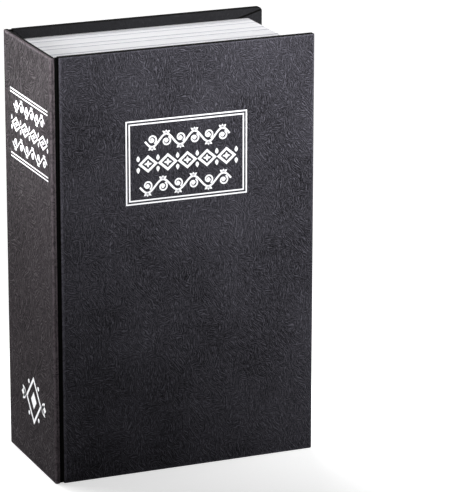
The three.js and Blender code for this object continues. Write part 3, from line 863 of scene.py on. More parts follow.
def book_finishes() -> dict[str, Finish]:
    """Every finish of the book safe.

    Returns:
        The finishes by their names.
    """
    leather, mottle, layers, brushed = (
        ShaderEffect.LEATHER, ShaderEffect.MOTTLE, ShaderEffect.LAYERS, ShaderEffect.BRUSHED
    )
    strokes = {"Stroke Width": 0.7 * MM, "Stroke Length": 1.75 * MM, "Lean Share": 1.0, "Grain Share": 0.4}
    fine_strokes = {"Stroke Width": 0.65 * MM, "Stroke Length": 1.5 * MM, "Lean Share": 1.0}
    wide_strokes = {"Stroke Width": 1.4 * MM, "Stroke Length": 3.2 * MM, "Lean Share": 1.0, "Grain Share": 0.5}
    hem_relief, page_relief, page_gloss = Relief(0.08 * MM, 0.5), Relief(0.02 * MM, 0.4), Gloss(0.66, 0.05, 0.06)
    finishes = (
        # The cloth of the covers and spine is lighter along its edges: partly wear, partly a painted highlight.
        Finish(
            "cover_cloth", "#3a393f", Pattern(leather, 0.95, strokes), Gloss(0.56, 0.1, 0.03),
            Relief(0.22 * MM, 0.85), "cover_cloth", Rub(0.6, ("front_cover_cloth", "back_cover_cloth")),
        ),
        Finish(
            "spine_cloth", "#3e393c", Pattern(leather, 0.75, wide_strokes), Gloss(0.56, 0.1, 0.01),
            Relief(0.1 * MM, 0.6), "spine_cloth", Rub(1.7, ("spine_cloth",)),
        ),
        # Near-black: the cover's own cloth over the board edges and the spine's turned-in ends, darkened as painted
        # shade.
        Finish("turned_edge", "#070706", Pattern(leather, 0.5, fine_strokes), Gloss(0.75, 0.1, 0.04), hem_relief),
        # The hem is the cover's own cloth, darkened as painted shade.
        Finish("hem_cloth", "#222224", Pattern(leather, 0.35, fine_strokes), Gloss(0.75, 0.1, 0.02), hem_relief),
        # Near-black: the cover's own cloth in the grooves by the spine, darkened as painted shade.
        Finish(
            "joint_cloth", "#060606", Pattern(leather, 0.4, fine_strokes), Gloss(0.8, 0.1, 0.03),
            hem_relief, "joint_cloth",
        ),
        Finish(
            "grey_board", "#8f897d", Pattern(mottle, 0.3, {"Tooth Size": 0.5 * MM}), Gloss(0.9, 0.05, 0.2),
            Relief(0.08 * MM, 0.6), "grey_board",
        ),
        Finish(
            "black_paper", "#121213", Pattern(mottle, 0.3, {"Tooth Size": 0.3 * MM}), Gloss(0.78, 0.06, 0.2),
            Relief(0.03 * MM, 0.5), "black_paper",
        ),
        Finish("page_plastic", "#efeff2", Pattern(layers, 0.045), page_gloss, page_relief, "page_plastic"),
        # Greyer faces in the page lines: painted shade in their grooves.
        Finish("page_line", "#b3b3bb", Pattern(layers, 0.08), page_gloss, page_relief),
        Finish(
            "hammered_paint", "#3a424b", Pattern(ShaderEffect.HAMMERED, 0.26, {"Dimple Size": 1.6 * MM}),
            Gloss(0.38, 0.1, 0.4, 0.25), Relief(0.12 * MM, 0.5), "hammered_paint",
        ),
        Finish(
            "zinc_steel", "#a9abb0", Pattern(brushed, 0.18), Gloss(0.3, 0.08, metallic=1.0),
            Relief(0.006 * MM, 0.4), "steel",
        ),
        Finish(
            "lock_plastic", "#141413", Pattern(mottle, 0.2, {"Patch Size": 9.0 * MM, "Tooth Size": 0.22 * MM}),
            Gloss(0.5, 0.06, 0.4), Relief(0.012 * MM, 0.5), "lock_plastic",
        ),
        Finish(
            "dial_plastic", "#eae2d4", Pattern(mottle, 0.08, {"Patch Size": 3.0 * MM, "Tooth Size": 0.2 * MM}),
            Gloss(0.42, 0.05), Relief(0.008 * MM, 0.4), "dial_plastic",
        ),
        Finish(
            "digit_ink", "#171411", Pattern(mottle, 0.2, {"Tooth Size": 0.15 * MM}), Gloss(0.6, 0.05, 0.3),
            Relief(0.004 * MM, 0.3),
        ),
        Finish(
            "turned_brass", "#b9975a", Pattern(brushed, 0.12, {"Line Length": 2.0 * MM}),
            Gloss(0.28, 0.06, metallic=1.0), Relief(0.005 * MM, 0.4), "brass",
        ),
        Finish(
            "silver_foil", "#ebebee", Pattern(mottle, 0.06, {"Patch Size": 1.6 * MM, "Tooth Size": 0.5 * MM}),
            Gloss(0.38, 0.1, metallic=0.75), Relief(0.02 * MM, 0.4),
        ),
    )
    return {finish.name: finish for finish in finishes}


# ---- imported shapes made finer, and shapes that repeat


def copied(node: str, name: str, width: float) -> Object:
    """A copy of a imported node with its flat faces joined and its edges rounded.

    Args:
        node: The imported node.
        name: The new piece's name.
        width: The width of the rounded edges.

    Returns:
        The new piece.
    """
    mesh = mesh_of(bpy.data.objects[node])
    bmesh.ops.remove_doubles(mesh, verts=mesh.verts, dist=MERGE_GAP)
    bmesh.ops.dissolve_limit(mesh, angle_limit=FLAT_ANGLE, verts=mesh.verts, edges=mesh.edges)
    return smoothed(as_object(name, mesh), width)


class RepeatTree(Enum):
    """The two ways in which a shape repeats: along a line and round a point."""

    ALONG = "repeated_along_a_line"
    ROUND = "repeated_round_an_axis"

    def tree(self) -> bpy.types.GeometryNodeTree:
        """The tree, built when it is first asked for."""
        return bpy.data.node_groups.get(self.value) or self._build()

    def _build(self) -> bpy.types.GeometryNodeTree:
        """Builds the tree with its named inputs.

        Returns:
            The tree.
        """
        tree = bpy.data.node_groups.new(self.value, "GeometryNodeTree")
        bench = Bench(tree)
        kinds = {"Shape": "Object", "Count": "Int", "Start": "Vector", "Step": "Vector", "Finish": "Material"}
        for name, kind in kinds.items():
            tree.interface.new_socket(name=name, in_out="INPUT", socket_type=f"NodeSocket{kind}")
        tree.interface.new_socket(name="Geometry", in_out="OUTPUT", socket_type="NodeSocketGeometry")
        given = bench.add("NodeGroupInput").outputs
        shape = bench.add("GeometryNodeObjectInfo", {"Object": given["Shape"]}).outputs["Geometry"]
        offset = given["Step"] if self is RepeatTree.ALONG else (0.0, 0.0, 0.0)
        line = {"Count": given["Count"], "Start Location": given["Start"], "Offset": offset}
        points = bench.add("GeometryNodeMeshLine", line, mode="OFFSET").outputs[0]
        inputs = {"Points": points, "Instance": shape}
        if self is RepeatTree.ROUND:
            number = bench.add("GeometryNodeInputIndex").outputs[0]
            turn = bench.add("ShaderNodeVectorMath", {0: given["Step"], "Scale": number}, operation="SCALE")
            inputs["Rotation"] = turn.outputs[0]
        copies = bench.add("GeometryNodeInstanceOnPoints", inputs).outputs[0]
        real = bench.add("GeometryNodeRealizeInstances", {0: copies}).outputs[0]
        dressed = bench.add("GeometryNodeSetMaterial", {"Geometry": real, "Material": given["Finish"]}).outputs[0]
        bench.add("NodeGroupOutput", {"Geometry": dressed})
        return tree

    def apply(
        self, name: str, shape: Object, count: int, start: Vector, step: Vector, finish: bpy.types.Material
    ) -> Object:
        """Repeats a shape, turns the result into a plain mesh and discards the shape.

        Args:
            name: The new piece's name.
            shape: The shape to repeat.
            count: How many.
            start: The place of the first, or the point that they stand round.
            step: The way from each to the next, or the turn about each axis between them.
            finish: The material.

        Returns:
            The new piece.
        """
        made = as_object(name, bmesh.new())
        modifier = made.modifiers.new("Repeat", "NODES")
        modifier.node_group = self.tree()
        values = {"Shape": shape, "Count": count, "Start": start, "Step": step, "Finish": finish}
        for item in modifier.node_group.interface.items_tree:
            if item.in_out == "INPUT":
                modifier[item.identifier] = values[item.name]
        evaluated(made)
        discard(shape)
        return made


# ---- camera, light and floor


@dataclass(frozen=True)
class ViewPoint:
    """The camera's place, fitted to the corners of the book in the photograph; angles are degrees."""

    azimuth: float = -22.80
    elevation: float = 16.62
    roll: float = 0.04
    distance: float = 1.409
    focal_pixels: float = 3375.0
    image_height: float = 492.0
    sensor: float = 36.0
    middle: float = 0.090
    slide_right: float = 0.02865
    slide_up: float = -0.00186
    nearest: float = 0.05
    farthest: float = 20.0

    def build(self) -> None:
        """Makes the camera and gives it to the scene."""
        azimuth, elevation, roll = map(math.radians, (self.azimuth, self.elevation, self.roll))
        level = math.cos(elevation)
        back = Vector((math.sin(azimuth) * level, -math.cos(azimuth) * level, math.sin(elevation)))
        right = Vector((0, 0, 1)).cross(back).normalized()
        up = back.cross(right)
        side = math.cos(roll) * right + math.sin(roll) * up
        top = math.cos(roll) * up - math.sin(roll) * right
        data = bpy.data.cameras.new("camera")
        data.sensor_width = self.sensor
        data.lens = self.focal_pixels * self.sensor / self.image_height
        data.clip_start, data.clip_end = self.nearest, self.farthest
        camera = linked("camera", data)
        place = Vector((0, 0, self.middle)) + back * self.distance + side * self.slide_right + top * self.slide_up
        camera.matrix_world = Matrix.Translation(place) @ Matrix((side, top, back)).transposed().to_4x4()
        bpy.context.scene.camera = camera


@dataclass(frozen=True)
class Lamp:
    """A soft rectangular lamp: where it hangs, where it points, its size, its power and its beam in degrees."""

    name: str
    place: Place
    aim: Place
    size: Point
    power: float
    spread: float

    def build(self) -> None:
        """Hangs the lamp."""
        data = bpy.data.lights.new(self.name, "AREA")
        data.shape = "RECTANGLE"
        data.size, data.size_y = self.size
        data.energy = self.power
        data.spread = math.radians(self.spread)
        made = linked(self.name, data)
        made.location = self.place
        made.rotation_mode = "QUATERNION"
        made.rotation_quaternion = (Vector(self.aim) - Vector(self.place)).to_track_quat("-Z", "Y")
        made.visible_camera = False


@dataclass(frozen=True)
class Studio:
    """A pale floor under an even sky, with a soft lamp high before each upright face of the book."""

    floor_radius: float = 6.0
    floor_steps: int = 96
    floor_colour: str = "#eeeeee"
    floor_gloss: Gloss = Gloss(0.9, 0.0, 0.1)
    floor_glow: float = 0.56
    sky: float = 0.14
    sun_aim: Place = (0.3, -0.6, -1.0)
    sun_strength: float = 1.43
    sun_width: float = 35.0
    lamps: tuple[Lamp, ...] = (
        Lamp("front_lamp", (0.044, -0.383, 0.252), (0.30, -0.0285, 0.407), (0.30, 0.08), 4.0, 136.5),
        Lamp("spine_lamp", (-0.381, 0.061, 0.245), (-0.0575, 0.03, 0.345), (0.24, 0.14), 1.05, 96.4),
        Lamp("back_lamp", (0.0, 0.24, 0.11), (0.0, 0.0285, 0.10), (0.30, 0.10), 0.35, 110.0),
        Lamp("fore_edge_lamp", (0.30, -0.05, 0.11), (0.0575, 0.0, 0.10), (0.16, 0.10), 0.14, 110.0),
    )

    @staticmethod
    def shows(bench: Bench) -> Socket:
        """One where the eye, a gloss or clear glass looks, and nought for light that only bounces.

        Args:
            bench: The bench of the material or the world.

        Returns:
            The share.
        """
        path = bench.add("ShaderNodeLightPath").outputs
        seen = bench.math("MAXIMUM", path["Is Camera Ray"], path["Is Glossy Ray"])
        return bench.math("MAXIMUM", seen, path["Is Transmission Ray"])

    def build_sky(self) -> None:
        """Makes the sky: white to the eye and in a gloss, and even light for the rest."""
        world = bpy.data.worlds.new("sky")
        world.use_nodes = True
        bpy.context.scene.world = world
        bench = Bench(world.node_tree)
        strength = bench.ramp(self.shows(bench), 0.0, 1.0, self.sky, 1.0)
        sky = bench.add("ShaderNodeBackground", {"Color": WHITE, "Strength": strength})
        bench.add("ShaderNodeOutputWorld", {"Surface": sky.outputs[0]})

    def build_floor(self) -> None:
        """Makes the floor, which is white but for the shadow that lies on it."""
        material = bpy.data.materials.new("floor")
        material.use_nodes = True
        bench = Bench(material.node_tree)
        inputs = {
            "Base Color": linear(self.floor_colour),
            "Roughness": self.floor_gloss.roughness,
            "Specular IOR Level": self.floor_gloss.specular,
            "Emission Color": WHITE,
            "Emission Strength": bench.math("MULTIPLY", self.shows(bench), self.floor_glow),
        }
        shader = bench.add("ShaderNodeBsdfPrincipled", inputs)
        bench.add("ShaderNodeOutputMaterial", {"Surface": shader.outputs[0]})
        mesh = bmesh.new()
        bmesh.ops.create_circle(mesh, cap_ends=True, segments=self.floor_steps, radius=self.floor_radius)
        floor = as_object("floor", mesh)
        floor.data.materials.append(material)
        floor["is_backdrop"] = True

    def build_sun(self) -> None:
        """Hangs a weak, wide sun behind the book, so that its shadow falls forward."""
        data = bpy.data.lights.new("sun", "SUN")
        data.energy, data.angle = self.sun_strength, math.radians(self.sun_width)
        made = linked("sun", data)
        made.rotation_mode = "QUATERNION"
        made.rotation_quaternion = Vector(self.sun_aim).to_track_quat("-Z", "Y")

    def build(self) -> None:
        """Makes the sky, the floor, the sun and the lamps."""
        bpy.context.scene.view_settings.view_transform = "Standard"
        self.build_sky()
        self.build_floor()
        self.build_sun()
        for lamp in self.lamps:
            lamp.build()


# ---- the covered boards


class Side(Enum):
    """The two covers, each by the way that it looks along Y."""

    FRONT = -1
    BACK = 1

    def node(self, part: str) -> str:
        """The name of this side's node or piece."""
        return f"{self.name.lower()}_{part}"

    def faces(self, low: Vector, high: Vector) -> Span:
        """Where the outer and the inner face of a box on this side lie along Y."""
        return (low.y, high.y) if self is Side.FRONT else (high.y, low.y)


class Edge(Enum):
    """The edges of a cover, counted as its outline runs."""

    FOOT = 0
    FORE_EDGE = 1
    TOP = 2
    JOINT = 3


@dataclass(frozen=True)
class Board:
    """Where a cover lies: its limits along X and Z, its corners, and its outer and inner faces along Y."""

    u: Span
    v: Span
    radii: tuple[float, ...]
    outer: float
    inner: float
    steps: int

    @property
    def inward(self) -> float:
        """Which way along Y the inner face lies from the outer one: -1 or 1."""
        return math.copysign(1.0, self.inner - self.outer)

    def loop(self, inset: float, depth: float) -> Loop:
        """The board's outline at an inset and at a depth from the outer face."""
        outline = rounded_loop(self.u, self.v, self.radii, inset, self.steps)
        return lift(outline, Axis.Y, self.outer + self.inward * depth)


@dataclass
class BookCase:
    """The two covers, the spine and the strips of cloth in the grooves between them."""

    palette: Palette
    cloth: float = 0.4 * MM
    edge_round: float = 0.45 * MM
    end_round: float = 0.4 * MM
    spine_round: float = 0.9 * MM
    spine_turn: float = 0.95 * MM  # how far the cloth reaches over the spine's ends
    hem: float = 12.0 * MM
    hem_tuck: float = 1.0 * MM  # how much farther in the layer under the strips reaches
    hem_rise: float = 0.02 * MM
    joint_radius: float = 0.6 * MM
    front_radius: float = 0.55 * MM
    back_radius: float = 1.8 * MM
    mitre_gap: float = 0.14 * MM
    fold_drop: float = 4.1 * MM  # how far from the corner the upright strip's fold ends
    fold_gap: float = 0.8 * MM
    weld_gap: float = 0.001 * MM
    arc_steps: int = 6
    edge_steps: int = 5
    end_steps: int = 4
    facing_share: float = 0.75  # a face is turned over an edge where less of its normal points outwards
    end_share: float = 0.4  # a face of the spine is at its end where more of its normal points up or down
    groove_sheet: float = 0.35 * MM
    groove_tuck: float = 0.5 * MM
    groove_steps: int = 14
    groove_rows: int = 36
    groove_end: float = 0.15 * MM
    groove_depth: float = 1.3 * MM
    groove_reach: float = 0.5 * MM

    def cover_wrap(self, board: Board) -> Mesh:
        """The cloth over a board's outer face and round its edges, with its hem on the inner face.

        Args:
            board: The board.

        Returns:
            The mesh.
        """
        e, c, thickness = self.edge_round, self.cloth, abs(board.inner - board.outer)
        angles = arc_shares(self.edge_steps)
        skin = [board.loop(e - e * math.sin(a), thickness - e + e * math.cos(a)) for a in angles]
        skin += [board.loop(e - e * math.cos(a), e - e * math.sin(a)) for a in angles]
        lining = [board.loop(c, c), board.loop(c, thickness - c), board.loop(e, thickness - c)]
        plates = bmesh.new()
        for loop in (board.loop(e, 0.0), board.loop(c, c)):
            plates.faces.new([plates.verts.new(point) for point in loop])
        whole = merged([lofted(skin + lining, ringed=True), *self.hem_flaps(board), plates])
        bmesh.ops.remove_doubles(whole, verts=whole.verts, dist=self.weld_gap)
        bmesh.ops.recalc_face_normals(whole, faces=whole.faces)
        return whole

    def hem_flaps(self, board: Board) -> list[Mesh]:
        """The turned-in cloth on a board's inner face: an unbroken layer under four strips.

        The strips meet in mitres at the joint, and at the fore-edge the upright strip is folded over the level ones.

        Args:
            board: The board.

        Returns:
            The layer and the four strips.
        """
        under, level, top = (
            board.inner - board.inward * depth for depth in (self.cloth, self.cloth / 2, -self.hem_rise)
        )
        outline = rounded_loop(board.u, board.v, board.radii, self.edge_round, self.arc_steps)
        inside, tucked = (
            rounded_loop(board.u, board.v, (0.0,) * 4, inset, self.arc_steps)
            for inset in (self.hem, self.hem + self.hem_tuck)
        )
        rims = [(outline, under), (outline, level), (tucked, level), (tucked, under)]
        pieces = [lofted([lift(points, Axis.Y, along) for points, along in rims], ringed=True)]
        count, corner = len(outline), self.arc_steps + 1
        fold_x, fold_foot, fold_top = board.u[1] - self.hem, board.v[0] + self.fold_drop, board.v[1] - self.fold_drop
        for edge in Edge:
            first = edge.value * corner + self.arc_steps // 2
            outer = [outline[(first + n) % count] for n in range(corner + 1)]
            inner = [inside[(edge.value + 1) * corner % count], inside[edge.value * corner]]
            gap = self.mitre_gap if edge in (Edge.FOOT, Edge.FORE_EDGE) else -self.mitre_gap
            if edge is Edge.FORE_EDGE:
                gap = self.fold_gap
                inner = [(fold_x, fold_top), (fold_x, fold_foot)]
            shift = Vector((gap, 0)) if edge in (Edge.FOOT, Edge.TOP) else Vector((0, gap))
            for ends, sign in ((outer, 1), (inner, -1)):
                ends[0] = tuple(Vector(ends[0]) + shift * sign)
                ends[-1] = tuple(Vector(ends[-1]) - shift * sign)
            if edge is Edge.FOOT:
                inner.insert(0, (inner[0][0], fold_foot))
            elif edge is Edge.TOP:
                inner.append((inner[1][0], fold_top))
            pieces.append(slab(outer + inner, Axis.Y, (min(level, top), max(level, top))))
        return pieces

    def build_cover(self, side: Side, body: str, radius: float) -> None:
        """Builds one cover's cloth over its packed board.

        Args:
            side: The cover's side.
            body: The body that it rides on.
            radius: The radius of its two corners at the fore-edge.
        """
        node = side.node("cover_cloth")
        low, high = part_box(node)
        outer, inner = side.faces(low, high)
        radii = (self.joint_radius, radius, radius, self.joint_radius)
        board = Board((low.x - self.groove_reach, high.x), (low.z, high.z), radii, outer, inner, self.arc_steps)
        made = smoothed(as_object(side.node("cover_wrap"), self.cover_wrap(board)))
        self.palette.settle(made, "cover_cloth", body, node)
        share, near = self.facing_share, self.cloth / 4

        def turned_over(middle: Vector, normal: Vector) -> bool:
            """Whether a face looks away from the cover's outer side."""
            return normal.y * side.value < share

        def hemmed(middle: Vector, normal: Vector) -> bool:
            """Whether a face is the top of the hem."""
            return normal.y * side.value < -share and abs(middle.y - inner) < near

        # Faces turned over the edges are darkened as painted shade.
        self.palette.set_apart(made, "turned_edge", turned_over)
        # The hem's top gets a darker cloth as painted shade.
        self.palette.set_apart(made, "hem_cloth", hemmed)

    def build_spine(self) -> None:
        """Builds the spine's cloth, with its long edges rounded."""
        low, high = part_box("spine_cloth")
        e, c = self.end_round, self.cloth
        angles = arc_shares(self.end_steps)

        def ring(inset: float, along: float) -> Loop:
            """The spine's outline at an inset and a height."""
            radii = (self.spine_round,) * 4
            return lift(rounded_loop((low.x, high.x), (low.y, high.y), radii, inset, self.arc_steps), Axis.Z, along)

        skin = [ring(e - e * math.sin(a), low.z + e - e * math.cos(a)) for a in angles]
        skin += [ring(e - e * math.cos(a), high.z - e + e * math.sin(a)) for a in angles]
        skin = [ring(self.spine_turn, low.z), *skin, ring(self.spine_turn, high.z)]
        cavity = lofted([ring(c, low.z + c), ring(c, high.z - c)])
        bmesh.ops.reverse_faces(cavity, faces=cavity.faces)
        made = smoothed(as_object("spine_wrap", merged([lofted(skin), cavity])))
        self.palette.settle(made, "spine_cloth", "root", "spine_cloth")
        fold = low.x + self.spine_turn

        def turned_in(middle: Vector, normal: Vector) -> bool:
            """Whether a face is the cloth that is turned in at the spine's ends."""
            return abs(normal.z) > self.end_share and middle.x > fold

        # The turned-in ends are darkened as painted shade.
        self.palette.set_apart(made, "turned_edge", turned_in)

    def joint_strip(self, side: Side) -> Object:
        """The cloth that dips into the groove between the spine and a cover.

        Args:
            side: The cover's side.

        Returns:
            The strip.
        """
        low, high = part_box(side.node("joint_cloth"))
        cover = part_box(side.node("cover_cloth"))
        mouth = side.faces(*cover)[0]
        left, width = low.x - self.groove_tuck, high.x - low.x + 2 * self.groove_tuck
        top, bottom = [], []
        for n in range(self.groove_steps + 1):
            share = n / self.groove_steps
            dip = 1 - abs(2 * share - 1) ** 3
            depth = self.edge_round + (self.groove_depth - self.edge_round) * dip
            x, y = left + share * width, mouth - side.value * depth
            top.append((x, y))
            bottom.append((x, y - side.value * self.groove_sheet))
        foot, height = cover[0].z + self.groove_end, cover[1].z - cover[0].z - 2 * self.groove_end
        heights = [foot + height * n / self.groove_rows for n in range(self.groove_rows + 1)]
        made = as_object(side.node("joint_strip"), lofted([lift(top + bottom[::-1], Axis.Z, z) for z in heights]))
        made.data.shade_smooth()
        return made

    def build_joints(self) -> None:
        """Builds the strips of both grooves; only the back one is given a body to ride on."""
        front, back = self.joint_strip(Side.FRONT), self.joint_strip(Side.BACK)
        # Both strips are near-black: painted shade in the grooves.
        self.palette.dress(front, "joint_cloth")
        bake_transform(front)
        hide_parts("front_joint_cloth")
        self.palette.settle(back, "joint_cloth", "root", "back_joint_cloth")

    def build(self) -> None:
        """Builds the whole case."""
        self.build_cover(Side.FRONT, "front_cover", self.front_radius)
        self.build_cover(Side.BACK, "root", self.back_radius)
        self.build_spine()
        self.build_joints()
        self.palette.dress_nodes("grey_board", "front_cover_board", "back_cover_board", "spine_board")
        self.palette.dress_nodes("black_paper", "front_endpaper", "back_endpaper", "spine_lining")
        log.info("book case dressed")


# ---- the foil


@dataclass
class FoilShape:
    """Flat shapes of foil, drawn in millimetres on a plane and given a hair of thickness.

    Where shapes overlap, the upper one gets a little more thickness, so that no two faces lie in one plane.
    """

    thickness: float = 0.03
    low_rise: float = 0.004
    middle_rise: float = 0.006
    high_rise: float = 0.008
    dot_steps: int = 20
    leaf_steps: int = 12
    leaf_fullness: float = 0.8
    parts: list[Mesh] = field(default_factory=list)

    def patch(self, points: Sequence[Point], extra: float = 0.0) -> None:
        """Draws a filled outline."""
        self.parts.append(slab(points, Axis.Z, (0.0, self.thickness + extra)))

    def band(self, outer: Sequence[Point], inner: Sequence[Point]) -> None:
        """Draws the ring between two outlines of equal count."""
        rims = ((outer, 0.0), (outer, self.thickness), (inner, self.thickness), (inner, 0.0))
        self.parts.append(lofted([lift(points, Axis.Z, height) for points, height in rims], ringed=True))

    def line(self, points: Sequence[Point], width: float, extra: float = 0.0) -> None:
        """Draws a line of even width through points.

        Args:
            points: The points.
            width: The width.
            extra: How much thicker than the rest it is.
        """
        left, right = [], []
        for n, point in enumerate(points):
            before, after = points[max(n - 1, 0)], points[min(n + 1, len(points) - 1)]
            along = Vector((after[0] - before[0], after[1] - before[1])).normalized()
            across = Vector((-along.y, along.x)) * width / 2
            left.append((point[0] + across.x, point[1] + across.y))
            right.append((point[0] - across.x, point[1] - across.y))
        self.patch(left + right[::-1], extra)

    def leaf(self, base: Point, length: float, width: float, angle: float, extra: float | None = None) -> None:
        """Draws a pointed leaf that grows from its base.

        Args:
            base: Where it starts.
            length: Its length.
            width: Its width.
            angle: Which way it points, in degrees.
            extra: How much thicker than the rest it is, if not by the lowest rise.
        """
        turn, half_way = math.radians(angle), self.leaf_steps
        points = []
        for n in range(2 * half_way):
            side = 1 if n <= half_way else -1
            share = n / half_way if side > 0 else 2 - n / half_way
            x, y = share * length, side * width / 2 * math.sin(math.pi * share**self.leaf_fullness)
            across, up = x * math.cos(turn) - y * math.sin(turn), x * math.sin(turn) + y * math.cos(turn)
            points.append((base[0] + across, base[1] + up))
        self.patch(points, self.low_rise if extra is None else extra)

    def disc(self, centre: Point, radius: float) -> None:
        """Draws a round dot."""
        self.patch(circle(centre, radius, self.dot_steps), self.high_rise)

    def object(self, name: str) -> Object:
        """The shape as an object, in metres.

        Args:
            name: The object's name.

        Returns:
            The object.
        """
        whole = merged(self.parts)
        bmesh.ops.scale(whole, vec=(MM, MM, MM), verts=whole.verts)
        return as_object(name, whole)


@dataclass(frozen=True)
class Vine:
    """One wave of a running vine, with a curled tendril and a berry in each bend and leaves on each crest.

    Its sizes are shares of its height, the place of its bends is a share of its width, and its angles are degrees.
    """

    line: float = 0.1
    line_steps: int = 36
    swing: float = 0.30
    bend: float = 0.25
    bend_drop: float = 0.06
    curl_line: float = 0.08
    curl_points: int = 31
    curl_radius: float = 0.235
    curl_tightening: float = 0.0052
    curl_start: float = 60.0
    curl_turn: float = 14.0
    berry: float = 0.085
    leaf_width: float = 0.13
    leaves: tuple[Point, ...] = ((-52.0, 0.25), (0.0, 0.2), (52.0, 0.25))

    def draw(self, width: float, height: float) -> FoilShape:
        """Draws the motif round the origin.

        Args:
            width: Its width.
            height: Its height.

        Returns:
            The shape.
        """
        shape = FoilShape()
        shares = [n / self.line_steps - 0.5 for n in range(self.line_steps + 1)]
        stem = [(width * share, self.swing * height * math.sin(2 * math.pi * share)) for share in shares]
        shape.line(stem, self.line * height)
        for side in (1, -1):
            centre = (side * self.bend * width, -side * self.bend_drop * height)
            curl = []
            for n in range(self.curl_points):
                angle = math.radians(side * (self.curl_start - self.curl_turn * n))
                curl.append(on_circle(centre, (self.curl_radius - self.curl_tightening * n) * height, angle))
            shape.line(curl, self.curl_line * height, shape.low_rise)
            shape.disc(centre, self.berry * height)
            crest = (side * self.bend * width, side * self.swing * height)
            for spread, length in self.leaves:
                angle = side * 90 + spread
                shape.leaf(crest, length * height, self.leaf_width * height, angle, shape.middle_rise)
        return shape


@dataclass(frozen=True)
class Lozenge:
    """A lozenge ring round a four-petalled flower; the ring and the petal's width are shares of the height."""

    ring: Point = (0.22, 0.18)
    petal_length: float = 0.2
    petal_width: float = 0.13
    dot: float = 0.055

    def draw(self, width: float, height: float) -> FoilShape:
        """Draws the motif round the origin.

        Args:
            width: Its width.
            height: Its height.

        Returns:
            The shape.
        """
        shape = FoilShape()
        inner = diamond(width / 2 - self.ring[0] * height, height / 2 - self.ring[1] * height)
        shape.band(diamond(width / 2, height / 2), inner)
        for quarter, reach in enumerate((width, height, width, height)):
            shape.leaf((0.0, 0.0), self.petal_length * reach, self.petal_width * height, 90 * quarter)
        shape.disc((0.0, 0.0), self.dot * height)
        return shape


@dataclass(frozen=True)
class Drops:
    """The pair of drops above and below the place where two lozenges meet; sizes are shares of the height."""

    start: float = 0.16
    length: float = 0.34
    width: float = 0.2

    def draw(self, width: float, height: float) -> FoilShape:
        """Draws the motif round the origin.

        Args:
            width: The width of one lozenge, which the drops don't fill.
            height: Its height.

        Returns:
            The shape.
        """
        shape = FoilShape()
        for side in (1, -1):
            shape.leaf((0.0, side * self.start * height), self.length * height, self.width * height, 90 * side)
        return shape


@dataclass(frozen=True)
class Emblem:
    """The ornament at the spine's foot: a lozenge in a lozenge between two sprigs, each part a share of its size."""

    middle: Point = (31.0, 28.2)
    size: Point = (29.0, 21.0)
    half_width: float = 0.32
    line: float = 0.05
    ring: Point = (1.5, 1.9)  # how wide and how high the ring is, in lines
    core: float = 0.36
    base: float = 0.4  # how far outside the ring the sprigs start, in lines
    leaf_width: float = 0.17
    sprig: Point = (0.24, 0.1)
    sprig_spread: float = 38.0
    dot: float = 0.045
    dot_place: Point = (0.62, 0.66)

    def draw(self) -> FoilShape:
        """Draws the emblem at its place on the spine.

        Returns:
            The shape.
        """
        (x, z), (width, height) = self.middle, self.size
        shape = FoilShape()
        tall, wide, line = 0.5 * height, self.half_width * width, self.line * height
        outer, inner = diamond(wide, tall), diamond(wide - self.ring[0] * line, tall - self.ring[1] * line)
        shape.band([(x + u, z + v) for u, v in outer], [(x + u, z + v) for u, v in inner])
        shape.patch([(x + self.core * u, z + self.core * v) for u, v in outer])
        for side in (1, -1):
            base, angle = (x + side * (wide + self.base * line), z), 90 - 90 * side
            shape.leaf(base, 0.5 * width - wide, self.leaf_width * height, angle)
            for spread in (self.sprig_spread, -self.sprig_spread):
                shape.leaf(base, self.sprig[0] * height, self.sprig[1] * height, angle + side * spread)
            for up in (1, -1):
                dot = (x + side * self.dot_place[0] * wide, z + up * self.dot_place[1] * tall)
                shape.disc(dot, self.dot * height)
        return shape


class Motif(Enum):
    """The ornaments that stand in rows."""

    VINE = Vine()
    LOZENGE = Lozenge()


class Panel(Enum):
    """The two faces that carry foil, by the first word in the names of their pieces."""

    COVER = "cover"
    SPINE = "spine"


@dataclass(frozen=True)
class OrnamentRow:
    """A row of one motif: where its middle lies on the panel, how long it is, how tall and how many it holds."""

    motif: Motif
    middle: Point
    length: float
    height: float
    count: int


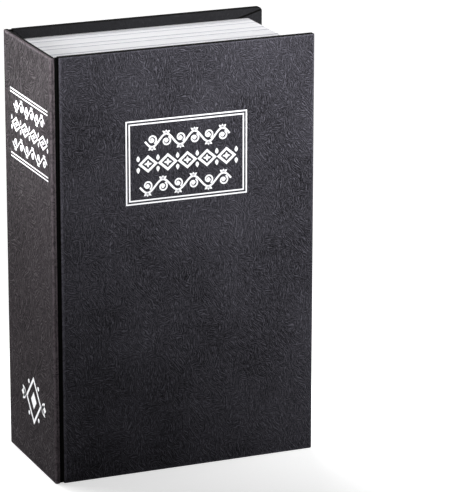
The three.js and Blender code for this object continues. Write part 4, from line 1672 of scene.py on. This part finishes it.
@dataclass
class FoilWork:
    """The silver foil on the front cover and the spine: ruled lines, rows of ornament and an emblem.

    It is drawn in millimetres from the book's lower edge, and across from the cover's spine side, or on the spine
    from the back cover's side.
    """

    palette: Palette
    sink: float = 0.01 * MM
    frame_middle: Point = (58.4, 133.3)
    frame_size: Point = (53.2, 35.2)
    frame_line: float = 0.6
    frame_gap: float = 0.72
    rule_span: Span = (8.2, 53.0)
    rule_heights: tuple[float, ...] = (157.2, 155.8, 129.8, 128.4)
    rule_line: float = 0.55
    cover_rows: tuple[OrnamentRow, ...] = (
        OrnamentRow(Motif.VINE, (58.7, 141.8), 37.0, 8.4, 3),
        OrnamentRow(Motif.LOZENGE, (58.7, 132.4), 43.0, 7.4, 5),
        OrnamentRow(Motif.VINE, (57.9, 122.8), 40.0, 8.4, 3),
    )
    spine_rows: tuple[OrnamentRow, ...] = (
        OrnamentRow(Motif.VINE, (30.8, 151.3), 37.0, 6.8, 3),
        OrnamentRow(Motif.LOZENGE, (31.1, 143.0), 43.0, 6.4, 4),
        OrnamentRow(Motif.VINE, (31.1, 134.9), 41.5, 6.8, 3),
    )

    def lay(self, made: Object, panel: Panel) -> None:
        """Lays foil that was drawn on the plane onto its panel.

        Args:
            made: The foil, in metres.
            panel: Where it goes.
        """
        left, front, back = (
            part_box("spine_cloth")[0].x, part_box("front_cover_cloth")[0].y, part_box("back_cover_cloth")[1].y
        )
        rows = {
            Panel.COVER: ((1, 0, 0, left), (0, 0, -1, front + self.sink), (0, 1, 0, 0), (0, 0, 0, 1)),
            Panel.SPINE: ((0, 0, -1, left + self.sink), (-1, 0, 0, back), (0, 1, 0, 0), (0, 0, 0, 1)),
        }
        made.data.transform(Matrix(rows[panel]))
        made.data.update()
        self.palette.settle(made, "silver_foil", "front_cover" if panel is Panel.COVER else "root")

    def build_frame(self) -> None:
        """The double line round the title panel."""
        shape, (width, height) = FoilShape(), self.frame_size
        for inset in (0.0, self.frame_line + self.frame_gap):
            outer, inner = (
                oblong(self.frame_middle, width / 2 - edge, height / 2 - edge)
                for edge in (inset, inset + self.frame_line)
            )
            shape.band(outer, inner)
        self.lay(shape.object("cover_foil_frame"), Panel.COVER)

    def build_rules(self) -> None:
        """The four rules across the spine."""
        shape, (left, right) = FoilShape(), self.rule_span
        for height in self.rule_heights:
            shape.patch(oblong(((left + right) / 2, height), (right - left) / 2, self.rule_line / 2))
        self.lay(shape.object("spine_foil_rules"), Panel.SPINE)

    def repeat(self, name: str, shape: FoilShape, count: int, start: Point, width: float, panel: Panel) -> None:
        """Repeats one motif along a row and lays the row.

        Args:
            name: The piece's name.
            shape: The motif.
            count: How many.
            start: The middle of the first.
            width: How far apart they stand.
            panel: Where the row goes.
        """
        finish = self.palette.material("silver_foil")
        first, step = Vector((*start, 0)) * MM, Vector((width * MM, 0, 0))
        self.lay(RepeatTree.ALONG.apply(name, shape.object("motif"), count, first, step, finish), panel)

    def build_rows(self, panel: Panel, rows: Sequence[OrnamentRow]) -> None:
        """Builds a panel's rows of ornament, and the drops between their lozenges.

        Args:
            panel: Where they go.
            rows: The rows, from the top.
        """
        for n, row in enumerate(rows, 1):
            name = f"{panel.value}_foil_row_{n}"
            width, left, level = row.length / row.count, row.middle[0] - row.length / 2, row.middle[1]
            motif = row.motif.value.draw(width, row.height)
            self.repeat(name, motif, row.count, (left + width / 2, level), width, panel)
            if row.motif is Motif.LOZENGE:
                drops = Drops().draw(width, row.height)
                self.repeat(f"{name}_drops", drops, row.count + 1, (left, level), width, panel)

    def build(self) -> None:
        """Lays all the foil."""
        self.build_frame()
        self.build_rows(Panel.COVER, self.cover_rows)
        self.build_rules()
        self.build_rows(Panel.SPINE, self.spine_rows)
        self.lay(Emblem().draw().object("spine_foil_emblem"), Panel.SPINE)
        log.info("foil laid on the cover and the spine")


# ---- the page block


@dataclass
class PageBlock:
    """The white moulded walls that stand for the pages, and the black card on their front edge."""

    palette: Palette
    corner_radius: float = 0.8 * MM
    corner_steps: int = 6
    least_radius: float = 0.02 * MM
    edge: float = 0.12 * MM
    wall: float = 1.8 * MM
    flange: float = 4.7 * MM
    flange_sheet: float = 1.6 * MM
    lining: float = 0.4 * MM
    rim: float = 0.8 * MM
    line_depth: float = 0.4 * MM
    line_width: float = 1.05 * MM
    line_shares: tuple[float, ...] = (0.09, 0.22, 0.37, 0.55, 0.66, 0.83, 0.93)
    dip_steps: tuple[float, ...] = (-1.0, -0.5, 0.0, 0.5, 1.0)

    def line_places(self, front: float, back: float) -> list[float]:
        """Where the page lines lie along Y."""
        start = front + self.lining
        return [start + share * (back - start) for share in self.line_shares]

    def section(self, front: float, back: float) -> list[Point]:
        """The wall's section, with a soft dip at each page line.

        Args:
            front: Where it starts along Y.
            back: Where it ends along Y.

        Returns:
            Its points as (inset from the outer face, place along Y).
        """
        start, sheet = front + self.lining, front + self.lining + self.flange_sheet
        outer = [(self.edge, front), (0.0, front + self.edge)]
        for middle in self.line_places(front, back):
            for step in self.dip_steps:
                depth = self.line_depth * (0.5 + 0.5 * math.cos(math.pi * step))
                outer.append((depth, middle + step * self.line_width / 2))
        inner = [(self.wall, back), (self.wall, sheet), (self.flange, sheet), (self.flange, start), (self.rim, start)]
        return [*outer, (0.0, back), *inner, (self.rim, front + self.edge), (self.rim - self.edge, front)]

    def path(self, inset: float, x: Span, z: Span) -> list[Point]:
        """The way round the top, the fore-edge and the foot.

        Args:
            inset: How far in from the outer face it runs.
            x: The block's limits along X.
            z: The block's limits along Z.

        Returns:
            The points of the way.
        """
        radius = max(self.corner_radius - inset, self.least_radius)
        end, top, foot = x[1] - inset - radius, z[1] - inset - radius, z[0] + inset + radius
        angles = arc_shares(self.corner_steps)
        upper = [(end + radius * math.sin(angle), top + radius * math.cos(angle)) for angle in angles]
        lower = [(end + radius * math.cos(angle), foot - radius * math.sin(angle)) for angle in angles]
        return [(x[0], z[1] - inset), *upper, *lower, (x[0], z[0] + inset)]

    def build(self) -> None:
        """Builds the walls and dresses the card."""
        low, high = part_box("page_block")
        section = self.section(low.y, high.y)
        paths = [self.path(inset, (low.x, high.x), (low.z, high.z)) for inset, _ in section]
        loops = [[Axis.Y.place(*point, along) for point, (_, along) in zip(stop, section)] for stop in zip(*paths)]
        made = smoothed(as_object("page_walls", lofted(loops)))
        self.palette.settle(made, "page_plastic", "root", "page_block")
        lines, reach = self.line_places(low.y, high.y), self.line_width / 2

        def in_a_line(middle: Vector, normal: Vector) -> bool:
            """Whether a face lies in one of the page lines."""
            return min(abs(middle.y - y) for y in lines) < reach

        # The faces in the page lines are greyed as painted shade.
        self.palette.set_apart(made, "page_line", in_a_line)
        self.palette.dress_nodes("black_paper", "ledge_lining")
        log.info("page block: %d stops, %d points a section", len(loops), len(section))


# ---- the steel safe


@dataclass
class SteelSafe:
    """The tray, its rim, the lid and the hinge between them."""

    palette: Palette
    sheet_round: float = 0.35 * MM
    leaf_round: float = 0.15 * MM
    rivet_head: float = 2.0 * MM
    rivet_rise: float = 0.5 * MM
    rivet_shank: float = 0.9 * MM
    rivet_steps: int = 28
    dome_steps: int = 5

    def rivet_shape(self, grip: float, axis: Axis) -> Object:
        """A rivet with a low dome at each end of its grip, its middle at the origin.

        Args:
            grip: The length between its two heads.
            axis: The axis that it stands along.

        Returns:
            The rivet.
        """
        head, rise, half = self.rivet_head, self.rivet_rise, grip / 2
        dome = [(head * math.cos(a), half + rise * math.sin(a)) for a in arc_shares(self.dome_steps)]
        dome[-1] = (0.0, half + rise)
        shank = [(self.rivet_shank, -half), (self.rivet_shank, half)]
        profile = [(radius, -along) for radius, along in dome[::-1]] + shank + dome
        return smoothed(as_object("rivet_shape", turned(profile, axis, (0.0, 0.0), self.rivet_steps)))

    def build_rivets(self, stem: str, axis: Axis, body: str) -> None:
        """Builds the three rivets of one hinge leaf, repeated from one.

        Args:
            stem: The start of the three nodes' names.
            axis: The axis that they stand along.
            body: The body that they ride on.
        """
        nodes = [f"{stem}_{n}" for n in (1, 2, 3)]
        (low, high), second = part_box(nodes[0]), middle_of(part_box(nodes[1]))
        first = middle_of((low, high))
        shape = self.rivet_shape((high - low)[axis.value] - 2 * self.rivet_rise, axis)
        finish = self.palette.material("zinc_steel")
        made = RepeatTree.ALONG.apply(f"{stem}s", shape, len(nodes), first, second - first, finish)
        made.data.shade_smooth()
        self.palette.settle(made, "zinc_steel", body, *nodes)

    def build(self) -> None:
        """Builds the safe."""
        for node, name, body, finish, width in (
            ("safe_tray", "steel_tray", "root", "hammered_paint", self.sheet_round),
            ("tray_rim", "steel_rim", "root", "hammered_paint", self.sheet_round),
            ("safe_lid", "steel_lid", "safe_lid", "hammered_paint", self.sheet_round),
            ("tray_hinge_leaf", "fixed_leaf", "root", "zinc_steel", self.leaf_round),
            ("lid_hinge_leaf", "lid_leaf", "safe_lid", "zinc_steel", self.leaf_round),
        ):
            self.palette.settle(copied(node, name, width), finish, body, node)
        self.palette.dress_nodes("zinc_steel", "hinge_pin")
        self.build_rivets("tray_rivet", Axis.X, "root")
        self.build_rivets("lid_rivet", Axis.Y, "safe_lid")
        log.info("steel safe dressed")


# ---- the lock


@dataclass
class NumberWheels:
    """The three number wheels: a hub with ten lands round it, and a digit of ink on each land."""

    palette: Palette
    radius: float = 6.0 * MM
    bore: float = 2.9 * MM
    groove_depth: float = 0.45 * MM
    hub_edge: float = 0.15 * MM
    hub_steps: int = 60
    land_share: float = 0.8
    land_root: float = 0.3 * MM
    land_round: float = 0.12 * MM
    land_edge_angle: float = math.radians(50.0)  # edges sharper than this are rounded
    land_stops: tuple[float, ...] = (-0.9, -0.6, -0.3, 0.0, 0.3, 0.6, 0.9)
    digits: int = 10
    digit_height: float = 3.7 * MM
    cap_share: float = 0.7  # a digit's height as a share of the text's size
    digit_swell: float = 0.05 * MM
    digit_depth: float = 0.1 * MM
    digit_proud: float = 0.03 * MM
    digit_curve: int = 4
    digit_weld: float = 0.005 * MM
    slice_width: float = 0.3 * MM
    slices: int = 5

    def hub(self, half: float) -> Object:
        """The wheel's drum between its lands.

        Args:
            half: Half the wheel's width.

        Returns:
            The drum, its axis along Z through the origin.
        """
        floor, edge = self.radius - self.groove_depth, self.hub_edge
        upper = [(floor, half - edge), (floor - edge, half), (self.bore, half)]
        profile = [(radius, -along) for radius, along in upper[::-1]] + upper
        return as_object("hub", turned(profile, Axis.Z, (0.0, 0.0), self.hub_steps))

    def lands(self, half: float) -> Object:
        """The ten raised lands round the wheel, repeated from one.

        Args:
            half: Half the wheel's width.

        Returns:
            The lands, round the Z axis, the first towards the front.
        """
        floor, angle = self.radius - self.groove_depth, self.land_share * math.pi / self.digits
        foot, side = floor - self.land_root, floor * math.sin(angle)
        crown = [on_circle((0.0, 0.0), self.radius, angle * stop) for stop in self.land_stops]
        mesh = slab([(foot, -side), *crown, (foot, side)], Axis.Z, (-half, half))
        land = smoothed(as_object("land", mesh), self.land_round, self.land_edge_angle)
        step, finish = Vector((0, 0, 2 * math.pi / self.digits)), self.palette.material("dial_plastic")
        lands = RepeatTree.ROUND.apply("lands", land, self.digits, Vector((0, 0, 0)), step, finish)
        lands.data.transform(Matrix.Rotation(-QUARTER, 4, "Z"))
        return lands

    def flat_digit(self, value: int) -> Mesh:
        """One digit as a thin solid that lies flat.

        Args:
            value: The digit.

        Returns:
            Its mesh.
        """
        text = bpy.data.curves.new("digit", "FONT")
        text.body = str(value)
        text.size = self.digit_height / self.cap_share
        text.align_x, text.align_y = "CENTER", "CENTER"
        text.offset = self.digit_swell
        text.extrude = self.digit_depth
        text.resolution_u = self.digit_curve
        holder = linked("digit", text)
        data = shown_mesh(holder)
        bpy.data.objects.remove(holder)
        bpy.data.curves.remove(text)
        mesh = bmesh.new()
        mesh.from_mesh(data)
        bpy.data.meshes.remove(data)
        bmesh.ops.remove_doubles(mesh, verts=mesh.verts, dist=self.digit_weld)
        return mesh

    def digit(self, value: int, centre: Vector) -> Mesh:
        """One digit, wrapped on its land of a wheel.

        Args:
            value: The digit.
            centre: The wheel's middle.

        Returns:
            Its mesh.
        """
        mesh = self.flat_digit(value)
        across, up = ([vertex.co[n] for vertex in mesh.verts] for n in (0, 1))
        middle = ((min(across) + max(across)) / 2, (min(up) + max(up)) / 2)
        for n in range(-self.slices, self.slices + 1):
            cut = (middle[0] + n * self.slice_width, 0, 0)
            whole = [*mesh.verts, *mesh.edges, *mesh.faces]
            bmesh.ops.bisect_plane(mesh, geom=whole, plane_co=cut, plane_no=(1, 0, 0))
        turn = value * 2 * math.pi / self.digits - QUARTER
        for vertex in mesh.verts:
            angle = turn + (vertex.co.x - middle[0]) / self.radius
            reach = self.radius + self.digit_proud + vertex.co.z - self.digit_depth
            away = on_circle((0.0, 0.0), reach, angle)
            vertex.co = centre + Vector((*away, vertex.co.y - middle[1]))
        bmesh.ops.recalc_face_normals(mesh, faces=mesh.faces)
        return mesh

    def build_wheel(self, number: int) -> None:
        """Builds one wheel and its digits, and dresses its sleeve.

        Args:
            number: The wheel's number.
        """
        node, sleeve = f"number_wheel_{number}", f"wheel_sleeve_{number}"
        low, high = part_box(node)
        centre = Vector((middle_of(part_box(sleeve)).x, low.y + self.radius, (low.z + high.z) / 2))
        half = (high.z - low.z) / 2
        hub, lands = self.hub(half), self.lands(half)
        whole = merged([mesh_of(hub), mesh_of(lands)])
        discard(hub, lands)
        bmesh.ops.translate(whole, verts=whole.verts, vec=centre)
        dial = smoothed(as_object(f"dial_{number}", whole))
        self.palette.settle(dial, "dial_plastic", node, node)
        digits = merged(self.digit(value, centre) for value in range(self.digits))
        self.palette.settle(as_object(f"dial_digits_{number}", digits), "digit_ink", node)
        self.palette.dress_nodes("turned_brass", sleeve)

    def build(self) -> None:
        """Builds the three wheels."""
        for number in (1, 2, 3):
            self.build_wheel(number)
        log.info("number wheels built")


@dataclass
class Lock:
    """The lock on the lid: plate, window tabs, thumb slide, case and screws, and what works inside it."""

    palette: Palette
    plate_round: float = 0.18 * MM
    case_round: float = 0.15 * MM
    bolt_round: float = 0.12 * MM
    lever_round: float = 0.15 * MM
    window_reach: float = 5.1 * MM
    pointer_size: Point = (1.7 * MM, 1.5 * MM)
    pointer_root: float = 0.3 * MM
    pointer_tip: float = 0.08 * MM
    pointer_sheet: float = 0.25 * MM
    pointer_sink: float = 0.15 * MM
    pointer_round: float = 0.05 * MM
    knob_tall: float = 2.5 * MM
    knob_round: float = 1.0 * MM
    knob_edge: float = 0.2 * MM
    knob_steps: int = 96
    rim_steps: int = 6
    dish_radius: float = 6.3 * MM
    dish_depth: float = 1.5 * MM
    dish_fullness: float = 0.85
    dish_steps: int = 14
    dish_lip: float = 0.35 * MM
    boss_radius: float = 3.0 * MM
    screw_steps: int = 36
    screw_shank: float = 0.8 * MM
    screw_head: float = 1.2 * MM
    crown_share: float = 0.5  # the crowned part of the head, as a share of its height
    crown_draw: float = 0.45  # how far the crown draws in, as a share of the same
    crown_steps: int = 4
    cross: Point = (0.62, 0.14)  # the cross's reach and half its width, as shares of the head's radius
    cross_over: float = 1.0 * MM

    def build_pointers(self) -> None:
        """Builds the small pointed tab at the left edge of each window, repeated down the plate."""
        first, second = (middle_of(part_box(f"number_wheel_{n}")).z for n in (1, 2))
        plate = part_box("lock_plate")
        (reach, height), root, tip = self.pointer_size, -self.pointer_root, self.pointer_tip
        lower = [(root, -height / 2), (0.0, -height / 2), (reach, -tip)]
        mesh = slab(lower + [(x, -z) for x, z in lower[::-1]], Axis.Y, (0.0, self.pointer_sheet))
        shape = smoothed(as_object("pointer_shape", mesh), self.pointer_round)
        start = Vector((middle_of(plate).x - self.window_reach, plate[0].y + self.pointer_sink, first))
        step, finish = Vector((0, 0, second - first)), self.palette.material("lock_plastic")
        made = RepeatTree.ALONG.apply("window_pointers", shape, 3, start, step, finish)
        self.palette.settle(made, "lock_plastic", "safe_lid")

    def build_knob(self) -> None:
        """Builds the round thumb slide with its dished face and the boss behind it."""
        low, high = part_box("slide_knob")
        radius, front, back = (high.x - low.x) / 2, low.y, low.y + self.knob_tall
        shares = [n / self.dish_steps for n in range(self.dish_steps)]
        dish = [
            (self.dish_radius * s, front + self.dish_depth * math.cos(QUARTER * s) ** self.dish_fullness)
            for s in shares
        ]
        rim = [
            (radius - self.knob_round * (1 - math.sin(a)), front + self.knob_round * (1 - math.cos(a)))
            for a in arc_shares(self.rim_steps)
        ]
        foot = [(radius, back - self.knob_edge), (radius - self.knob_edge, back)]
        boss = [(self.boss_radius, back), (self.boss_radius, high.y), (0.0, high.y)]
        lip = [(self.dish_radius, front), (self.dish_radius + self.dish_lip, front)]
        middle = middle_of((low, high))
        mesh = turned([*dish, *lip, *rim, *foot, *boss], Axis.Y, (middle.x, middle.z), self.knob_steps)
        made = smoothed(as_object("thumb_slide", mesh))
        self.palette.settle(made, "lock_plastic", "latch", "slide_knob")

    def screw_profile(self, low: float, high: float, head: float) -> list[Point]:
        """A case screw's profile.

        Args:
            low: Where its tip is along Y.
            high: Where the top of its head is along Y.
            head: The radius of its head.

        Returns:
            The points as (radius, place along Y).
        """
        tall, seat = self.screw_head, high - self.screw_head
        profile = [(0.0, low), (self.screw_shank, low), (self.screw_shank, seat), (head, seat)]
        for a in arc_shares(self.crown_steps):
            drawn = self.crown_draw * tall * (1 - math.cos(a))
            profile.append((head - drawn, seat + (1 - self.crown_share + self.crown_share * math.sin(a)) * tall))
        return [*profile, (0.0, high)]

    def build_screw(self, number: int) -> None:
        """Builds one case screw, with a cross cut into its head.

        Args:
            number: The screw's number.
        """
        node = f"lock_screw_{number}"
        low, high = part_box(node)
        middle, head = middle_of((low, high)), (high.x - low.x) / 2
        centre = (middle.x, middle.z)
        mesh = turned(self.screw_profile(low.y, high.y, head), Axis.Y, centre, self.screw_steps)
        made = as_object(f"case_screw_{number}", mesh)
        span = (high.y - self.crown_share * self.screw_head, high.y + self.cross_over)
        arm, thin = (share * head for share in self.cross)
        cutters = [
            as_object("cutter", slab(oblong(centre, *halves), Axis.Y, span)) for halves in ((arm, thin), (thin, arm))
        ]
        for cutter in cutters:
            cut = made.modifiers.new("Cross", "BOOLEAN")
            cut.object, cut.operation, cut.solver = cutter, "DIFFERENCE", "EXACT"
        evaluated(made)
        discard(*cutters)
        self.palette.settle(smoothed(made), "zinc_steel", "safe_lid", node)

    def build(self) -> None:
        """Builds the lock."""
        for node, name, body, finish, width in (
            ("lock_plate", "lock_face", "safe_lid", "lock_plastic", self.plate_round),
            ("lock_case", "lock_box", "safe_lid", "lock_plastic", self.case_round),
            ("latch_bolt", "bolt_tongue", "latch", "zinc_steel", self.bolt_round),
            ("reset_lever", "set_lever", "reset_lever", "zinc_steel", self.lever_round),
        ):
            self.palette.settle(copied(node, name, width), finish, body, node)
        NumberWheels(self.palette).build()
        self.build_pointers()
        self.build_knob()
        for number in (1, 2):
            self.build_screw(number)
        inside = ("wheel_axle", "axle_spring", "detent_spring", "fence_comb", "knob_screw")
        self.palette.dress_nodes("zinc_steel", *inside)
        log.info("lock dressed")


# ---- the whole book


def main() -> None:
    """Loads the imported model, builds every sub-assembly in order and reports each piece."""
    logging.basicConfig(level=logging.INFO, format="%(message)s")
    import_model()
    ViewPoint().build()
    Studio().build()
    palette = Palette(book_finishes())
    for part in (BookCase, FoilWork, PageBlock, SteelSafe, Lock):
        part(palette).build()
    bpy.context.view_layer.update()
    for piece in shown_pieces():
        log.info("%s: %d faces", piece.name, len(piece.data.polygons))


if __name__ == "__main__":
    main()
